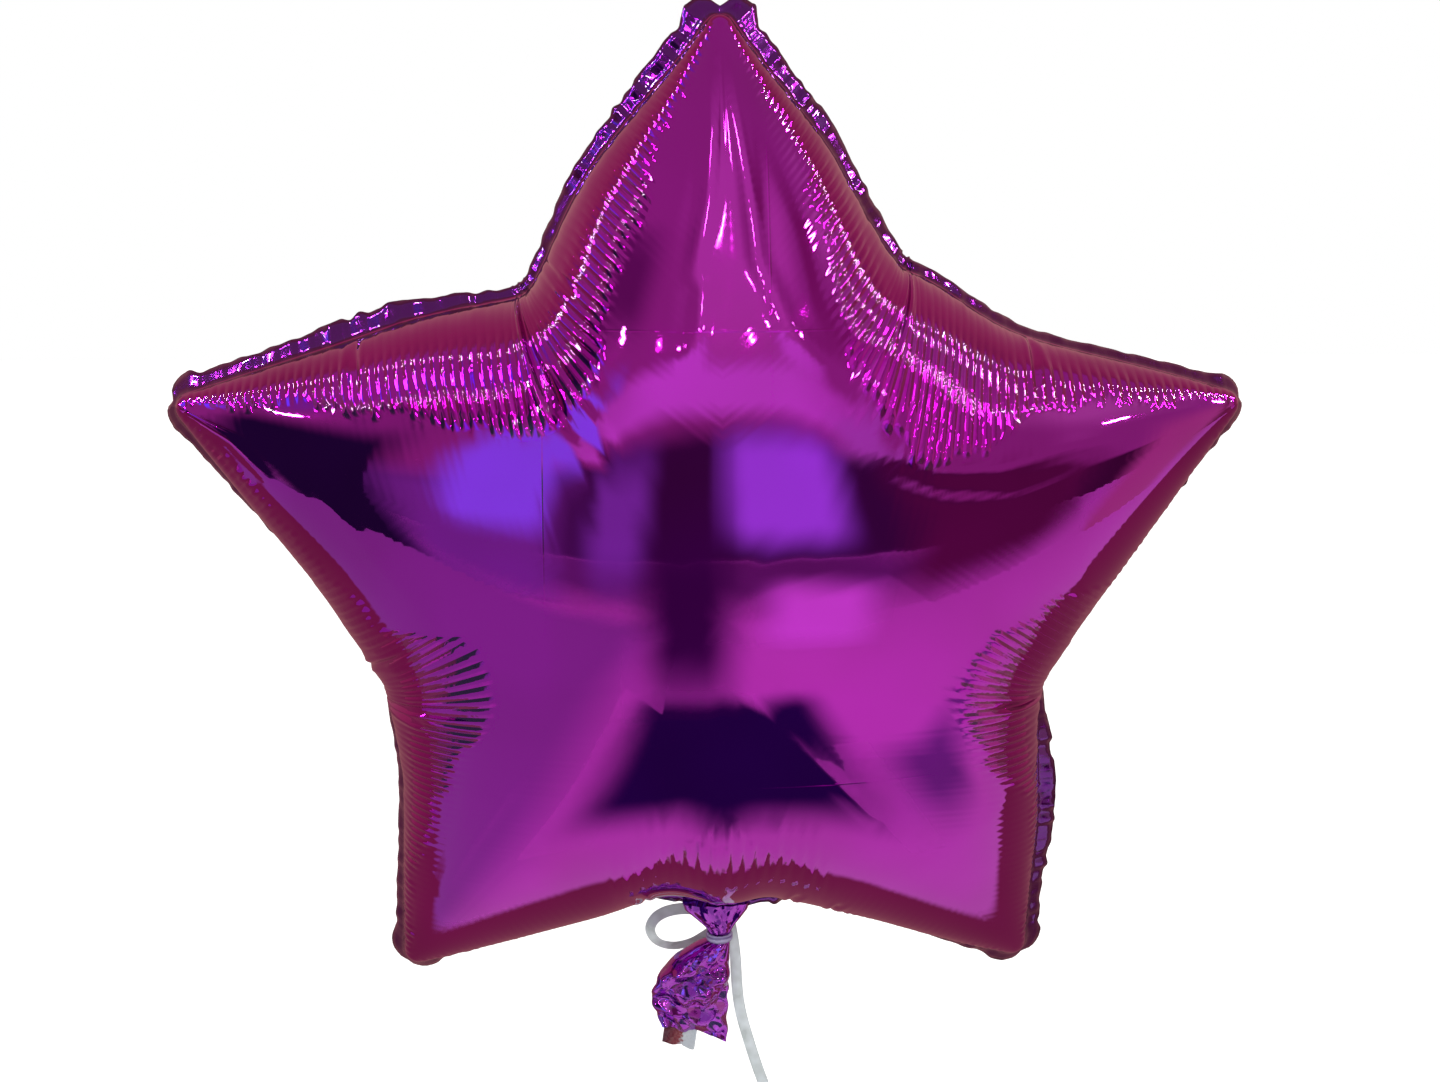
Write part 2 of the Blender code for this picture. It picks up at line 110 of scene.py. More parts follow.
# Curling ribbon, a plastic film drawn over a blade: a soft silver sheen runs along its ribs, partly from its
# coat and rib bump and partly painted sheen, lighter streaks in its base colour.
# A wave texture repeats every pi / 10 units at a scale of 1, which gives the scale from the spacing.
def ribbon_material():
    made, tree, shader = new_material("ribbon_plastic", Metallic=0.0, IOR=1.5, Coat_Weight=0.35,
                                      Coat_Roughness=0.12)
    place = add_node(tree, "ShaderNodeTexCoord").outputs["UV"]
    rib_scale = math.pi / 10 * (ribbon_width / 2) / rib_spacing
    ribs = add_node(tree, "ShaderNodeTexWave", {"Vector": place}, bands_direction="X", Scale=rib_scale,
                    Distortion=0.25, Detail=1.0)
    streak = add_node(tree, "ShaderNodeTexNoise", {"Vector": place}, Scale=0.8, Detail=1.0)
    # Painted sheen: the base colour is lighter in soft streaks along the ribbon
    shade = add_node(tree, "ShaderNodeValToRGB", {"Fac": streak.outputs["Fac"]})
    shade.color_ramp.elements[0].color = linear("#c3cbcb")
    shade.color_ramp.elements[0].position = 0.3
    shade.color_ramp.elements[1].color = linear("#dde5e8")
    shade.color_ramp.elements[1].position = 0.7
    tree.links.new(shade.outputs["Color"], shader.inputs["Base Color"])
    rough = add_node(tree, "ShaderNodeMapRange", {"Value": streak.outputs["Fac"]}, To_Min=0.22,
                     To_Max=0.38)
    tree.links.new(rough.outputs["Result"], shader.inputs["Roughness"])
    bump = add_node(tree, "ShaderNodeBump", {"Height": ribs.outputs["Fac"]}, Strength=0.35,
                    Distance=0.0002)
    tree.links.new(bump.outputs["Normal"], shader.inputs["Normal"])
    return made


ribbon_finish = ribbon_material()


# A curve through the points of a route, the same at every run
def smooth_line(route):
    count = len(route)
    line = []
    for s in range(ribbon_stations):
        share = s / (ribbon_stations - 1) * (count - 1)
        i = min(count - 2, int(share))
        t = share - i
        before, a, b, after = route[max(0, i - 1)], route[i], route[i + 1], route[min(count - 1, i + 2)]
        line.append(0.5 * (2 * a + (b - before) * t + (2 * before - 5 * a + 4 * b - after) * t * t
                           + (3 * a - before - 3 * b + after) * t * t * t))
    return line


def add_piece(name, mesh, made):
    piece = bpy.data.objects.new(name, mesh)
    bpy.context.scene.collection.objects.link(piece)
    piece.data.materials.clear()
    piece.data.materials.append(made)
    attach(piece, "root")
    return piece


# A flat strip with rounded edges and a slight crown, turned so that its width lies along `across`
def ribbon_strip(name, route, across):
    line = smooth_line([Vector(point) for point in route])
    sides = smooth_line([Vector(point).normalized() for point in across])
    bm = bmesh.new()
    uv = bm.loops.layers.uv.new("UVMap")
    rings = []
    run = [0.0]
    for s in range(ribbon_stations):
        ahead = (line[min(s + 1, ribbon_stations - 1)] - line[max(s - 1, 0)]).normalized()
        wide = (sides[s] - ahead * sides[s].dot(ahead)).normalized()
        thick = ahead.cross(wide)
        ring = []
        for k in range(ribbon_sides):
            angle = 2 * math.pi * (k + 0.5) / ribbon_sides
            u = math.copysign(abs(math.cos(angle)) ** 0.35, math.cos(angle))
            v = math.copysign(abs(math.sin(angle)) ** 0.8, math.sin(angle))
            crown = ribbon_crown * (1 - u * u)
            ring.append(bm.verts.new(line[s] + wide * (u * ribbon_width / 2)
                                     + thick * (v * ribbon_film / 2 + crown)))
        rings.append(ring)
        if s:
            run.append(run[-1] + (line[s] - line[s - 1]).length)
    for s in range(ribbon_stations - 1):
        for k in range(ribbon_sides):
            after = (k + 1) % ribbon_sides
            face = bm.faces.new((rings[s][k], rings[s][after], rings[s + 1][after], rings[s + 1][k]))
            for loop, (edge, far) in zip(face.loops, ((k, 0), (after, 0), (after, 1), (k, 1))):
                turn = 2 * math.pi * (edge + 0.5) / ribbon_sides
                loop[uv].uv = (math.cos(turn), run[s + far] / ribbon_width)
    bm.faces.new(rings[0])
    bm.faces.new(rings[-1])
    bmesh.ops.recalc_face_normals(bm, faces=bm.faces)
    mesh = bpy.data.meshes.new(name)
    bm.to_mesh(mesh)
    bm.free()
    mesh.shade_smooth()
    mesh.set_sharp_from_angle(angle=math.radians(50))
    piece = add_piece(name, mesh, ribbon_finish)
    return piece, line, run[-1]


end_steps = [(0.0070, 0.0070, -0.1650), (0.0080, 0.0062, -0.1700), (0.0088, 0.0053, -0.1755),
             (0.0093, 0.0044, -0.1810), (0.0096, 0.0036, -0.1870), (0.0099, 0.0028, -0.1930),
             (0.0104, 0.0020, -0.1990), (0.0114, 0.0014, -0.2055), (0.0128, 0.0009, -0.2118),
             (0.0145, 0.0006, -0.2180), (0.0162, 0.0002, -0.2240), (0.0180, 0.0, -0.2300),
             (0.0199, 0.0, -0.2360), (0.0219, 0.0, -0.2420), (0.0233, 0.0, -0.2470), (0.0241, 0.0, -0.2500)]
end_sides = [(1.0, 0.5, 0.3), (1.0, 0.5, 0.2), (1.0, 0.4, 0.1), (1.0, 0.2, 0.0)] + [(1.0, 0.0, 0.0)] * 12
end_route = [star_centre + Vector(step) for step in end_steps]
hanging, hanging_line, hanging_length = ribbon_strip("ribbon_hanging", end_route, end_sides)
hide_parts("ribbon")

loop_steps = [(-0.0035, 0.0003, 0.0012), (-0.0102, 0.0004, 0.0084), (-0.0200, -0.0020, 0.0100),
              (-0.0275, -0.0045, 0.0080), (-0.0305, -0.0055, 0.0026), (-0.0275, -0.0040, -0.0040),
              (-0.0200, 0.0006, -0.0088), (-0.0110, 0.0026, -0.0078), (-0.0033, 0.0008, -0.0022)]
loop_sides = [(0.0, 0.4, 1.0), (0.1, 0.4, 1.0), (0.0, 0.5, 1.0), (-0.5, 0.6, 0.7), (-1.0, 0.5, 0.0),
              (-0.8, 0.4, -0.6), (-0.4, 0.3, -1.0), (0.0, 0.3, -1.0), (0.0, 0.3, -1.0)]
loop_route = [knot_place + Vector(step) for step in loop_steps]
bow, bow_line, bow_length = ribbon_strip("ribbon_bow", loop_route, loop_sides)
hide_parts("bow_loop")

hand_loop_half_width = 0.0085
hand_loop_half_height = 0.0100
hand_loop_drop = 0.0029
hand_gap = 12
hand_steps = 24
end_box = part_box("end_knot")
end_knot = (Vector(end_box[0]) + Vector(end_box[1])) / 2
hand_route = []
for i in range(hand_steps + 1):
    angle = math.radians(90 + hand_gap + (360 - 2 * hand_gap) * i / hand_steps)
    fall = hand_loop_drop + hand_loop_half_height * (1 - math.sin(angle))
    hand_route.append(end_knot + Vector((hand_loop_half_width * math.cos(angle), 0.0, -fall)))
hand_sides = [(0, 1, 0)] * len(hand_route)
hand, hand_line, hand_length = ribbon_strip("ribbon_hand_loop", hand_route, hand_sides)
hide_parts("hand_loop")


# Envelope
# Two metallised films welded round the star and blown up: a smooth middle, a rim that turns away,
# and rows of fine puckers that run in from the weld, longest at the notches.
seam_tip_radius = 0.2200
seam_notch_radius = 0.1400
tip_round = 0.006
notch_round = 0.016
half_depth = 0.079
weld_width = 0.0095
tip_lobe = 0.0045
tip_cleft = 0.55
neck_sag = 0.0065
notch_lift = 0.0035
film_pair = 0.0003
neck_half_angle = 5
lift_angle = 11
# Round the star from the top tip, anticlockwise: gains in reach, and turns in the plane in degrees
tip_gain = [0.998, 1.032, 1.006, 1.018, 1.030]
side_gain = [1.035, 1.016, 0.988, 1.058, 0.960]
notch_gain = [0.975, 1.042, 1.000, 1.050, 1.032]
next_side_gain = [1.012, 1.003, 0.995, 1.035, 1.055]
tip_turn = [-0.6, 0.1, -1.2, 1.4, -0.3]
notch_turn = [-2.2, 0.8, 1.6, -1.2, 4.5]
# The weld turns back by these degrees and has these shares of its width, every 18 degrees
weld_turn = [30, 40, 45, 35, 50, 62, 65, 60, 55, 60, 50, 60, 45, 25, 55, 60, 55, 60, 50, 45]
weld_gain = [1.0, 0.9, 0.7, 1.15, 1.0, 0.9, 0.8, 0.8, 1.0, 0.9,
             1.0, 0.9, 1.0, 1.2, 0.8, 0.8, 0.8, 0.8, 0.8, 1.05]
tip_columns, side_columns, arc_columns = 6, 164, 14
half_columns = tip_columns + side_columns + arc_columns
all_columns = 10 * half_columns
bottom_column = 6 * half_columns
rows = np.concatenate([[0, 0.004, 0.012, 0.025, 0.045], np.arange(0.07, 0.405, 0.03),
                       np.arange(0.43, 0.985, 0.033), [1.0]])
front_stride = [1] * 17 + [2] * (len(rows) - 17)
back_stride = [1] + [2] * 16 + [4] * (len(rows) - 17)


def smooth(value):
    value = np.clip(value, 0.0, 1.0)
    return value * value * (3 - 2 * value)


# Points of half an arm's seam, from tip to notch, with the way out and the ridge behind each
def half_arm():
    tip_centre = np.array([seam_tip_radius - tip_round, 0.0])
    turn = math.radians(36)
    notch_centre = (seam_notch_radius + notch_round) * np.array([math.cos(turn), math.sin(turn)])
    across = notch_centre - tip_centre
    lean = math.atan2(across[1], across[0]) - math.acos((tip_round + notch_round) / np.hypot(*across))
    side = np.array([math.cos(lean), math.sin(lean)])
    first = tip_centre + tip_round * side
    last = notch_centre - notch_round * side
    points, outward, ridge = [], [], []
    for angle in np.linspace(0, lean, tip_columns, endpoint=False):
        ray = np.array([math.cos(angle), math.sin(angle)])
        points.append(tip_centre + tip_round * ray)
        outward.append(ray)
        ridge.append(tip_centre[0])
    for share in np.linspace(0, 1, side_columns, endpoint=False):
        place = first + (last - first) * share
        points.append(place)
        outward.append(side)
        ridge.append(place[0] - place[1] * side[0] / side[1])
    for angle in np.linspace(lean, turn, arc_columns + 1):
        ray = np.array([math.cos(angle), math.sin(angle)])
        place = notch_centre - notch_round * ray
        points.append(place)
        outward.append(ray)
        ridge.append(max(0.0, place[0] - place[1] * ray[0] / ray[1]))
    ridge[-1] = 0.0
    return np.array(points), np.array(outward), np.array(ridge)


# The film's rise is the square root of a stretched membrane's, solved over half an arm
solver_rounds = 900


def membrane_rise(points, ridge):
    axis = np.stack([ridge, np.zeros_like(ridge)], 1)
    grid = points[:, None, :] + (axis - points)[:, None, :] * rows[None, :, None]
    keys = np.round(grid.reshape(-1, 2) * 1e7).astype(np.int64)
    _, first, index = np.unique(keys, axis=0, return_index=True, return_inverse=True)
    index = index.reshape(grid.shape[:2])
    place = grid.reshape(-1, 2)[first]
    a, b = index[:-1, :-1].ravel(), index[1:, :-1].ravel()
    d, e = index[1:, 1:].ravel(), index[:-1, 1:].ravel()
    tris = np.concatenate([np.stack([a, b, d], 1), np.stack([a, d, e], 1)])
    corner = place[tris]
    edge = corner[:, [2, 0, 1]] - corner[:, [1, 2, 0]]
    area = 0.5 * np.abs(edge[:, 0, 0] * edge[:, 1, 1] - edge[:, 0, 1] * edge[:, 1, 0])
    keep = area > 1e-14
    tris, edge, area = tris[keep], edge[keep], area[keep]
    local = np.einsum("nik,njk->nij", edge, edge) / (4 * area[:, None, None])
    load = np.bincount(tris.ravel(), np.repeat(area / 3, 3), len(place))
    diagonal = np.bincount(tris.ravel(), np.einsum("nii->ni", local).ravel(), len(place))
    free = np.ones(len(place))
    free[index[:, 0]] = 0.0
    value = np.zeros(len(place))
    rest = load * free
    step = rest / diagonal
    size = rest @ step
    for _ in range(solver_rounds):
        pull = np.bincount(tris.ravel(), np.einsum("nij,nj->ni", local, step[tris]).ravel(), len(place))
        pull *= free
        gain = size / (step @ pull)
        value += gain * step
        rest -= gain * pull
        ready = rest / diagonal
        fresh = rest @ ready
        if fresh < size * 1e-30 or fresh < 1e-24:
            break
        step = ready + step * (fresh / size)
        size = fresh
    return np.sqrt(value[index] / value.max())


seam_points, seam_outward, seam_ridge = half_arm()
rise = half_depth * membrane_rise(seam_points, seam_ridge)

loop_column = np.arange(all_columns)
loop_arm, loop_step = np.divmod(loop_column, 2 * half_columns)
film_column = np.abs(loop_step - half_columns)
film_side = np.where(loop_step < half_columns, -1.0, 1.0)
film_turn = np.radians(90 + 72 * loop_arm)


def ring_value(values, angle):
    values = np.array(values)
    step = (angle % 360) * len(values) / 360
    first = step.astype(int) % len(values)
    following = (first + 1) % len(values)
    return values[first] + (values[following] - values[first]) * smooth(step - np.floor(step))


# The real star isn't quite regular, so tips and notches move a little in its plane
def warp(x, z):
    radius = np.hypot(x, z)
    angle = np.degrees(np.arctan2(z, x)) % 360
    gains = [value for four in zip(tip_gain, side_gain, notch_gain, next_side_gain) for value in four]
    turns = [value for pair in zip(tip_turn, notch_turn) for value in pair]
    gain = ring_value(gains, angle - 90)
    turn = ring_value(turns, angle - 90)
    reach = np.minimum(1.0, radius / seam_notch_radius) ** 2
    low = angle - 270
    sag = neck_sag * np.exp(-(low / neck_half_angle) ** 2)
    pull = sag - notch_lift * np.exp(-((low + lift_angle) / neck_half_angle) ** 2)
    radius = radius * (1 + (gain - 1) * reach) + pull * reach
    angle = np.radians(angle + turn * reach)
    return radius * np.cos(angle), radius * np.sin(angle)


def in_plane(share, beyond=0.0):
    point = seam_points[film_column] + seam_outward[film_column] * np.reshape(beyond, (-1, 1))
    axis = np.stack([seam_ridge[film_column], np.zeros(all_columns)], 1)
    local = point + (axis - point) * share
    u, v = local[:, 0], local[:, 1] * film_side
    return warp(u * np.cos(film_turn) - v * np.sin(film_turn), u * np.sin(film_turn) + v * np.cos(film_turn))


# Distance in from the weld, and place along a line 30 mm in from it, where puckers are evenly spaced
inset = 0.030
tip_squeeze = 0.3
steps = np.linalg.norm(np.diff(seam_points, axis=0), axis=1)
along_seam = np.concatenate([[0], np.cumsum(steps)])
steps[-arc_columns:] *= (notch_round + inset) / notch_round
steps[:tip_columns] *= tip_squeeze
along_half = np.concatenate([[0], np.cumsum(steps)])
half_length = along_half[-1]
along = loop_arm * 2 * half_length + half_length + film_side * along_half[film_column]
span = np.hypot(seam_points[film_column, 0] - seam_ridge[film_column], seam_points[film_column, 1])
near_notch = smooth((along_half[film_column] - 0.35 * half_length) / (0.6 * half_length))


# How far in from the weld the puckers reach, in millimetres, every 9 degrees from the top tip on
pucker_reach = [5, 14, 28, 34, 50, 40, 29, 15, 6, 14, 17, 22, 52, 30, 20, 7, 4, 3, 3, 34,
                46, 42, 8, 3, 4, 4, 8, 32, 45, 31, 5, 3, 4, 16, 25, 50, 58, 33, 21, 10]
# Deep creases over the rim: angle round the star, length, depth and half width in millimetres
rim_creases = [(124.5, 50, 2.2, 1.0), (118.0, 24, 0.8, 0.9), (58.0, 28, 1.8, 1.0), (37.0, 20, 1.2, 1.2),
               (-20.5, 30, 2.0, 1.0), (-159.0, 22, 1.6, 1.0), (-165.5, 24, 1.2, 1.0), (-101.0, 16, 1.2, 1.0),
               (-78.5, 16, 1.3, 1.0), (-72.5, 15, 1.1, 1.0), (200.0, 44, 0.9, 1.4), (146.0, 20, 0.9, 1.4)]
seam_x, seam_z = in_plane(0.0)
seam_angle = np.degrees(np.arctan2(seam_z, seam_x))
reach = ring_value(pucker_reach, seam_angle - 90) * 0.001
total_length = 10 * half_length


def ring_offset(centre):
    return (along - centre + total_length / 2) % total_length - total_length / 2


# Even corrugations that start where the rim turns to the front and end in round lobes
pucker_pitch = 0.0034
pucker_count = round(total_length / pucker_pitch)
pucker_phase = along / total_length * pucker_count
low_pitch = 0.0050
drooping = (np.abs(seam_x) < 0.046) & (seam_z < -0.05)
pucker_start = np.minimum(0.012, reach * 0.28) + np.where(drooping, 0.011, 0.0)
pucker_tall = np.where(drooping, 2.0, 1.0)
pucker_share = np.where(drooping, 0.5, 1.0)
pucker_fade = np.where(drooping, 0.022, 0.006)
pucker_root = np.where(drooping, 0.0, 0.10)
pucker_onset = np.where(drooping, 0.018, 0.006)
front_pucker = 0.00050
swell_depth = 0.0005
swell_pitch = 0.0130


# Over the bottom notch the puckers hang straight down, side by side
def pucker_place(base):
    place = np.broadcast_to(pucker_phase, base.shape[:2]).copy()
    place[:, drooping] = pucker_phase[bottom_column] + base[:, drooping, 0] / low_pitch
    return place


def ridge_field(distance, place, luck):
    number = np.floor(place).astype(int) % pucker_count
    tall = luck.uniform(0.75, 1.15, pucker_count)[number] * pucker_tall
    end = reach + luck.uniform(-0.0015, 0.0015, pucker_count)[number]
    crest = 0.5 - 0.5 * np.cos(2 * np.pi * place)
    begun = smooth((distance - pucker_start + 0.003) / pucker_onset)
    band = begun * (1 - smooth((distance - end + 0.005) / pucker_fade))
    return tall * crest * (pucker_root * smooth(distance / 0.003) + 0.90 * band)


# Broad, shallow waves under the fine ones
def swell_field(distance, luck):
    count = round(total_length / swell_pitch)
    knots = luck.uniform(-1, 1, count)
    place = along / total_length * count
    first = place.astype(int) % count
    part = smooth(place - np.floor(place))
    wave = knots[first] * (1 - part) + knots[(first + 1) % count] * part
    fade = smooth(distance / 0.010) * (1 - smooth((distance - reach * 0.5) / (reach * 0.7)))
    return wave * fade


# Soft folds of the front film: height and half width in millimetres, then points from the star's centre
soft_folds = [(0.80, 3.2, [(2, 214), (-3, 200), (-2, 176), (-4, 150), (-11, 118)]),
              (0.85, 3.6, [(4, 212), (7, 187), (11, 157), (14, 129), (25, 104), (42, 89)]),
              (0.50, 3.2, [(-6, 124), (-8, 104), (-15, 90)]),
              (0.55, 2.2, [(-73, 103), (-59, 86), (-44, 69), (-38, 60)]),
              (-0.50, 2.0, [(-78, 98), (-64, 80), (-50, 64), (-46, 56)]),
              (0.45, 2.2, [(-68, 106), (-54, 90), (-40, 76)]),
              (0.45, 2.0, [(-62, 72), (-52, 60), (-44, 44), (-40, 32)]),
              (0.45, 2.6, [(51, 65), (78, 52), (106, 51), (136, 58), (157, 59)]),
              (-0.40, 2.4, [(60, 54), (84, 45), (112, 43), (140, 50)]),
              (0.30, 3.0, [(-160, 52), (-141, 28), (-124, 8), (-107, -13)]),
              (0.60, 2.2, [(-217, 70), (-190, 58), (-172, 42)]),
              (-0.45, 2.2, [(-212, 64), (-196, 50), (-180, 30)]),
              (0.40, 2.6, [(-117, -133), (-98, -98), (-78, -65)]),
              (-0.30, 3.2, [(-104, -62), (-108, -92), (-118, -124)]),
              (0.30, 2.6, [(6, -30), (24, -50), (42, -68), (62, -92)])]


def fold_field(base):
    x, z = base[:, :, 0] * 1000, base[:, :, 2] * 1000
    field = np.zeros(x.shape)
    for height, wide, line in soft_folds:
        line = np.array(line, float)
        reached = np.concatenate([[0], np.cumsum(np.linalg.norm(np.diff(line, axis=0), axis=1))])
        fine = np.linspace(0, reached[-1], 40)
        track = np.stack([np.interp(fine, reached, line[:, 0]), np.interp(fine, reached, line[:, 1])], 1)
        gap = np.hypot(x[..., None] - track[:, 0], z[..., None] - track[:, 1])
        nearest = gap.argmin(-1)
        ends = np.sin(np.pi * np.clip(nearest / 39, 0, 1)) ** 0.6
        field += height * 0.001 * ends * np.exp(-(gap.min(-1) / wide) ** 2)
    return field


def crease_field(distance):
    field = np.zeros((len(rows), all_columns))
    for angle, length, depth, wide in rim_creases:
        near = np.argmin(np.abs((seam_angle - angle + 180) % 360 - 180))
        offset = ring_offset(along[near])[None, :] / (wide * 0.001 * (1 + distance / 0.03))
        fade = smooth(distance / 0.002) * (1 - smooth((distance - length * 0.0005) / (length * 0.0005)))
        field -= depth * 0.001 * np.exp(-offset ** 2) * fade
        field += depth * 0.0004 * np.exp(-(np.abs(offset) - 2.2) ** 2) * fade
    return field


# The broad middle is one smooth dome: a polynomial fitted to the rise, blended in over 55 mm
middle_reach = 0.115
middle_blend = 0.055


def even_middle(x, y, z):
    radius = np.hypot(x, z)
    inner = radius < middle_reach
    powers = [(i, j) for i in range(9) for j in range(9 - i)]
    u, v = x / middle_reach, z / middle_reach
    terms = np.stack([u ** i * v ** j for i, j in powers], -1)
    weight = np.sqrt(radius[inner])[:, None]
    fit, *_ = np.linalg.lstsq(terms[inner] * weight, y[inner] * weight[:, 0], rcond=None)
    share = 1 - smooth((radius - middle_blend) / middle_blend)
    return y * (1 - share) + (terms @ fit) * share


def film_sheet(side, luck):
    base = np.zeros((len(rows), all_columns, 3))
    for r, share in enumerate(rows):
        x, z = in_plane(share)
        base[r, :, 0] = x
        base[r, :, 1] = film_pair / 2 + rise[film_column, r]
        base[r, :, 2] = z
    base[:, :, 1] = side * even_middle(base[:, :, 0], base[:, :, 1], base[:, :, 2])
    ahead = np.roll(base, -1, 1) - np.roll(base, 1, 1)
    inward = np.gradient(base, axis=0)
    normal = np.cross(ahead, inward)
    normal /= np.maximum(np.linalg.norm(normal, axis=2, keepdims=True), 1e-12)
    flip = np.sign(normal[..., 1] * side + 1e-9)
    normal *= flip[..., None]
    distance = rows[:, None] * span[None, :]
    fine = front_pucker if side < 0 else 0.0
    place = pucker_place(base)
    field = fine * ridge_field(distance, place, luck) + swell_depth * swell_field(distance, luck)
    if side < 0:
        field += fold_field(base)
    field += crease_field(distance)
    field[-1] = 0.0
    return base + normal * field[..., None], place


def seam_wave(luck):
    knots = luck.uniform(-1, 1, 360)
    place = along / total_length * len(knots)
    first = place.astype(int) % len(knots)
    part = smooth(place - np.floor(place))
    return knots[first] * (1 - part) + knots[(first + 1) % len(knots)] * part


# Sharp little folds of crumpled foil: creased waves, each with its direction, spacing and shift
crumple_waves = [(0.3, 0.0061, 0.2), (1.4, 0.0083, 1.1), (2.3, 0.0047, 2.0), (2.9, 0.0109, 0.7)]
crumple_depth = 0.0008
lobe_place = 0.0065
lobe_width = 0.0045
cleft_width = 0.0018
flat_columns = 26
turning_columns = 40


def crumple(x, z):
    total = np.zeros_like(x)
    for turn, pitch, phase in crumple_waves:
        place = (x * math.cos(turn) + z * math.sin(turn)) / pitch + phase
        total += np.abs((place + 0.35 * np.sin(2.1 * place)) % 2 - 1) - 0.5
    return total


# Both films with their weld as one closed skin; its UV map holds place along the seam and depth
def build_envelope(made):
    luck = np.random.default_rng(5)
    wave = seam_wave(luck) * (0.0006 + 0.0010 * near_notch)
    crinkle = seam_wave(luck)
    flutter = seam_wave(luck)
    sheets = []
    for side in (-1.0, 1.0):
        sheet, place = film_sheet(side, luck)
        fade = 1 - smooth(rows / 0.06)
        sheet[:, :, 1] += wave[None, :] * fade[:, None]
        skirt = []
        for part in (0.33, 0.67, 1.0):
            from_tip = along_seam[film_column]
            lobe = tip_lobe * 0.8 * np.exp(-((from_tip - lobe_place) / lobe_width) ** 2)
            cleft = 1 - tip_cleft * np.exp(-(from_tip / cleft_width) ** 2)
            wide = weld_width * ring_value(weld_gain, seam_angle - 90) * (0.92 + 0.10 * flutter)
            wide = part * (wide + lobe) * cleft
            offset = np.abs(loop_column - bottom_column)
            sweep = np.radians(ring_value(weld_turn, seam_angle - 90))
            sweep = sweep * smooth((offset - flat_columns) / turning_columns)
            x, z = in_plane(0.0, wide * np.cos(sweep))
            y = side * film_pair / 2 + wave + wide * (np.sin(sweep) + 0.10 * crinkle)
            y = y + part * crumple_depth * crumple(x, z)
            skirt.append(np.stack([x, y, z], 1))
        sheets.append((sheet, skirt, place))
    vertices = []
    depths = []
    columns = []
    phases = []
    faces = []
    count = 0
    numbers = []
    outside = [np.full(all_columns, -0.01)] * 3
    for (sheet, skirt, place), row_stride in zip(sheets, (front_stride, back_stride)):
        lines = [(line, 1, depth, place[0]) for line, depth in zip(reversed(skirt), outside)]
        lines += [(sheet[r], row_stride[r], rows[r] * span, place[r]) for r in range(len(rows))]
        index = []
        for line, stride, depth, phase in lines:
            own = np.full(all_columns, -1)
            picks = np.arange(0, all_columns, stride)
            own[picks] = count + np.arange(len(picks))
            count += len(picks)
            vertices.append(line[picks])
            depths.append(depth[picks])
            phases.append(phase[picks])
            columns.append(picks)
            index.append((own, stride))
        numbers.append(index)
        for (outer, wide), (inner, narrow) in zip(index, index[1:]):
            for c in range(0, all_columns, narrow):
                after = (c + narrow) % all_columns
                if wide == narrow:
                    faces.append((outer[c], outer[after], inner[after], inner[c]))
                else:
                    middle = c + wide
                    faces.append((outer[c], outer[middle], inner[c]))
                    faces.append((outer[middle], inner[after], inner[c]))
                    faces.append((outer[middle], outer[after], inner[after]))
    front, back = numbers[0][0][0], numbers[1][0][0]
    for c in range(all_columns):
        after = (c + 1) % all_columns
        faces.append((front[c], front[after], back[after], back[c]))
    points = np.concatenate(vertices) + np.array(star_centre)
    mesh = bpy.data.meshes.new("envelope_film")
    mesh.from_pydata(points.tolist(), [], [tuple(int(v) for v in face) for face in faces])
    columns = np.concatenate(columns)
    depths = np.concatenate(depths)
    ends = mesh.attributes.new("pucker_reach", "FLOAT", "POINT")
    ends.data.foreach_set("value", reach[columns].astype(np.float32))
    tall = mesh.attributes.new("pucker_share", "FLOAT", "POINT")
    tall.data.foreach_set("value", pucker_share[columns].astype(np.float32))
    uv = mesh.uv_layers.new(name="UVMap")
    corner = np.zeros(len(mesh.loops), np.int32)
    mesh.loops.foreach_get("vertex_index", corner)
    starts = np.zeros(len(mesh.polygons), np.int32)
    mesh.polygons.foreach_get("loop_start", starts)
    owner = np.repeat(np.arange(len(starts)), np.diff(np.append(starts, len(corner))))
    phase = np.concatenate(phases)[corner]
    high, low = np.zeros(len(starts)), np.full(len(starts), 1e9)
    np.maximum.at(high, owner, phase)
    np.minimum.at(low, owner, phase)
    torn = (high - low > 2.5)[owner]
    phase = np.where(torn, pucker_phase[columns[corner]], phase)
    high[:] = 0.0
    np.maximum.at(high, owner, phase)
    phase = np.where(high[owner] - phase > pucker_count / 2, phase + pucker_count, phase)
    spots = np.stack([phase / pucker_count, depths[corner] / 0.1 + 0.1], 1)
    uv.data.foreach_set("uv", spots.astype(np.float32).ravel())
    bm = bmesh.new()
    bm.from_mesh(mesh)
    bmesh.ops.remove_doubles(bm, verts=bm.verts, dist=0.000002)
    bmesh.ops.dissolve_degenerate(bm, edges=bm.edges, dist=0.000001)
    bmesh.ops.recalc_face_normals(bm, faces=bm.faces)
    bm.to_mesh(mesh)
    bm.free()
    mesh.shade_smooth()
    piece = add_piece("envelope_film", mesh, made)
    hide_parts("envelope")


# Metallised polyester, printed magenta over aluminium: a tinted mirror under a clear coat, whose white
# lamps stay white, with faint clouds from handling. The tail's film is crushed into small facets.
cloud_size = 0.0714
dust_size = 0.01667
facet_size = 0.007143
# Painted shade: the weld's base colour is mixed toward this dark violet, standing in for the dark reflection
# along the flange
weld_painted_shade = "#34126c"
# Painted reflection colour: the tail, the same film as the envelope, has its tint mixed toward this lilac so
# that its reflections read lilac
tail_painted_lilac = "#a06ae6"
tail_share = 0.675
facet_slope = 700.0


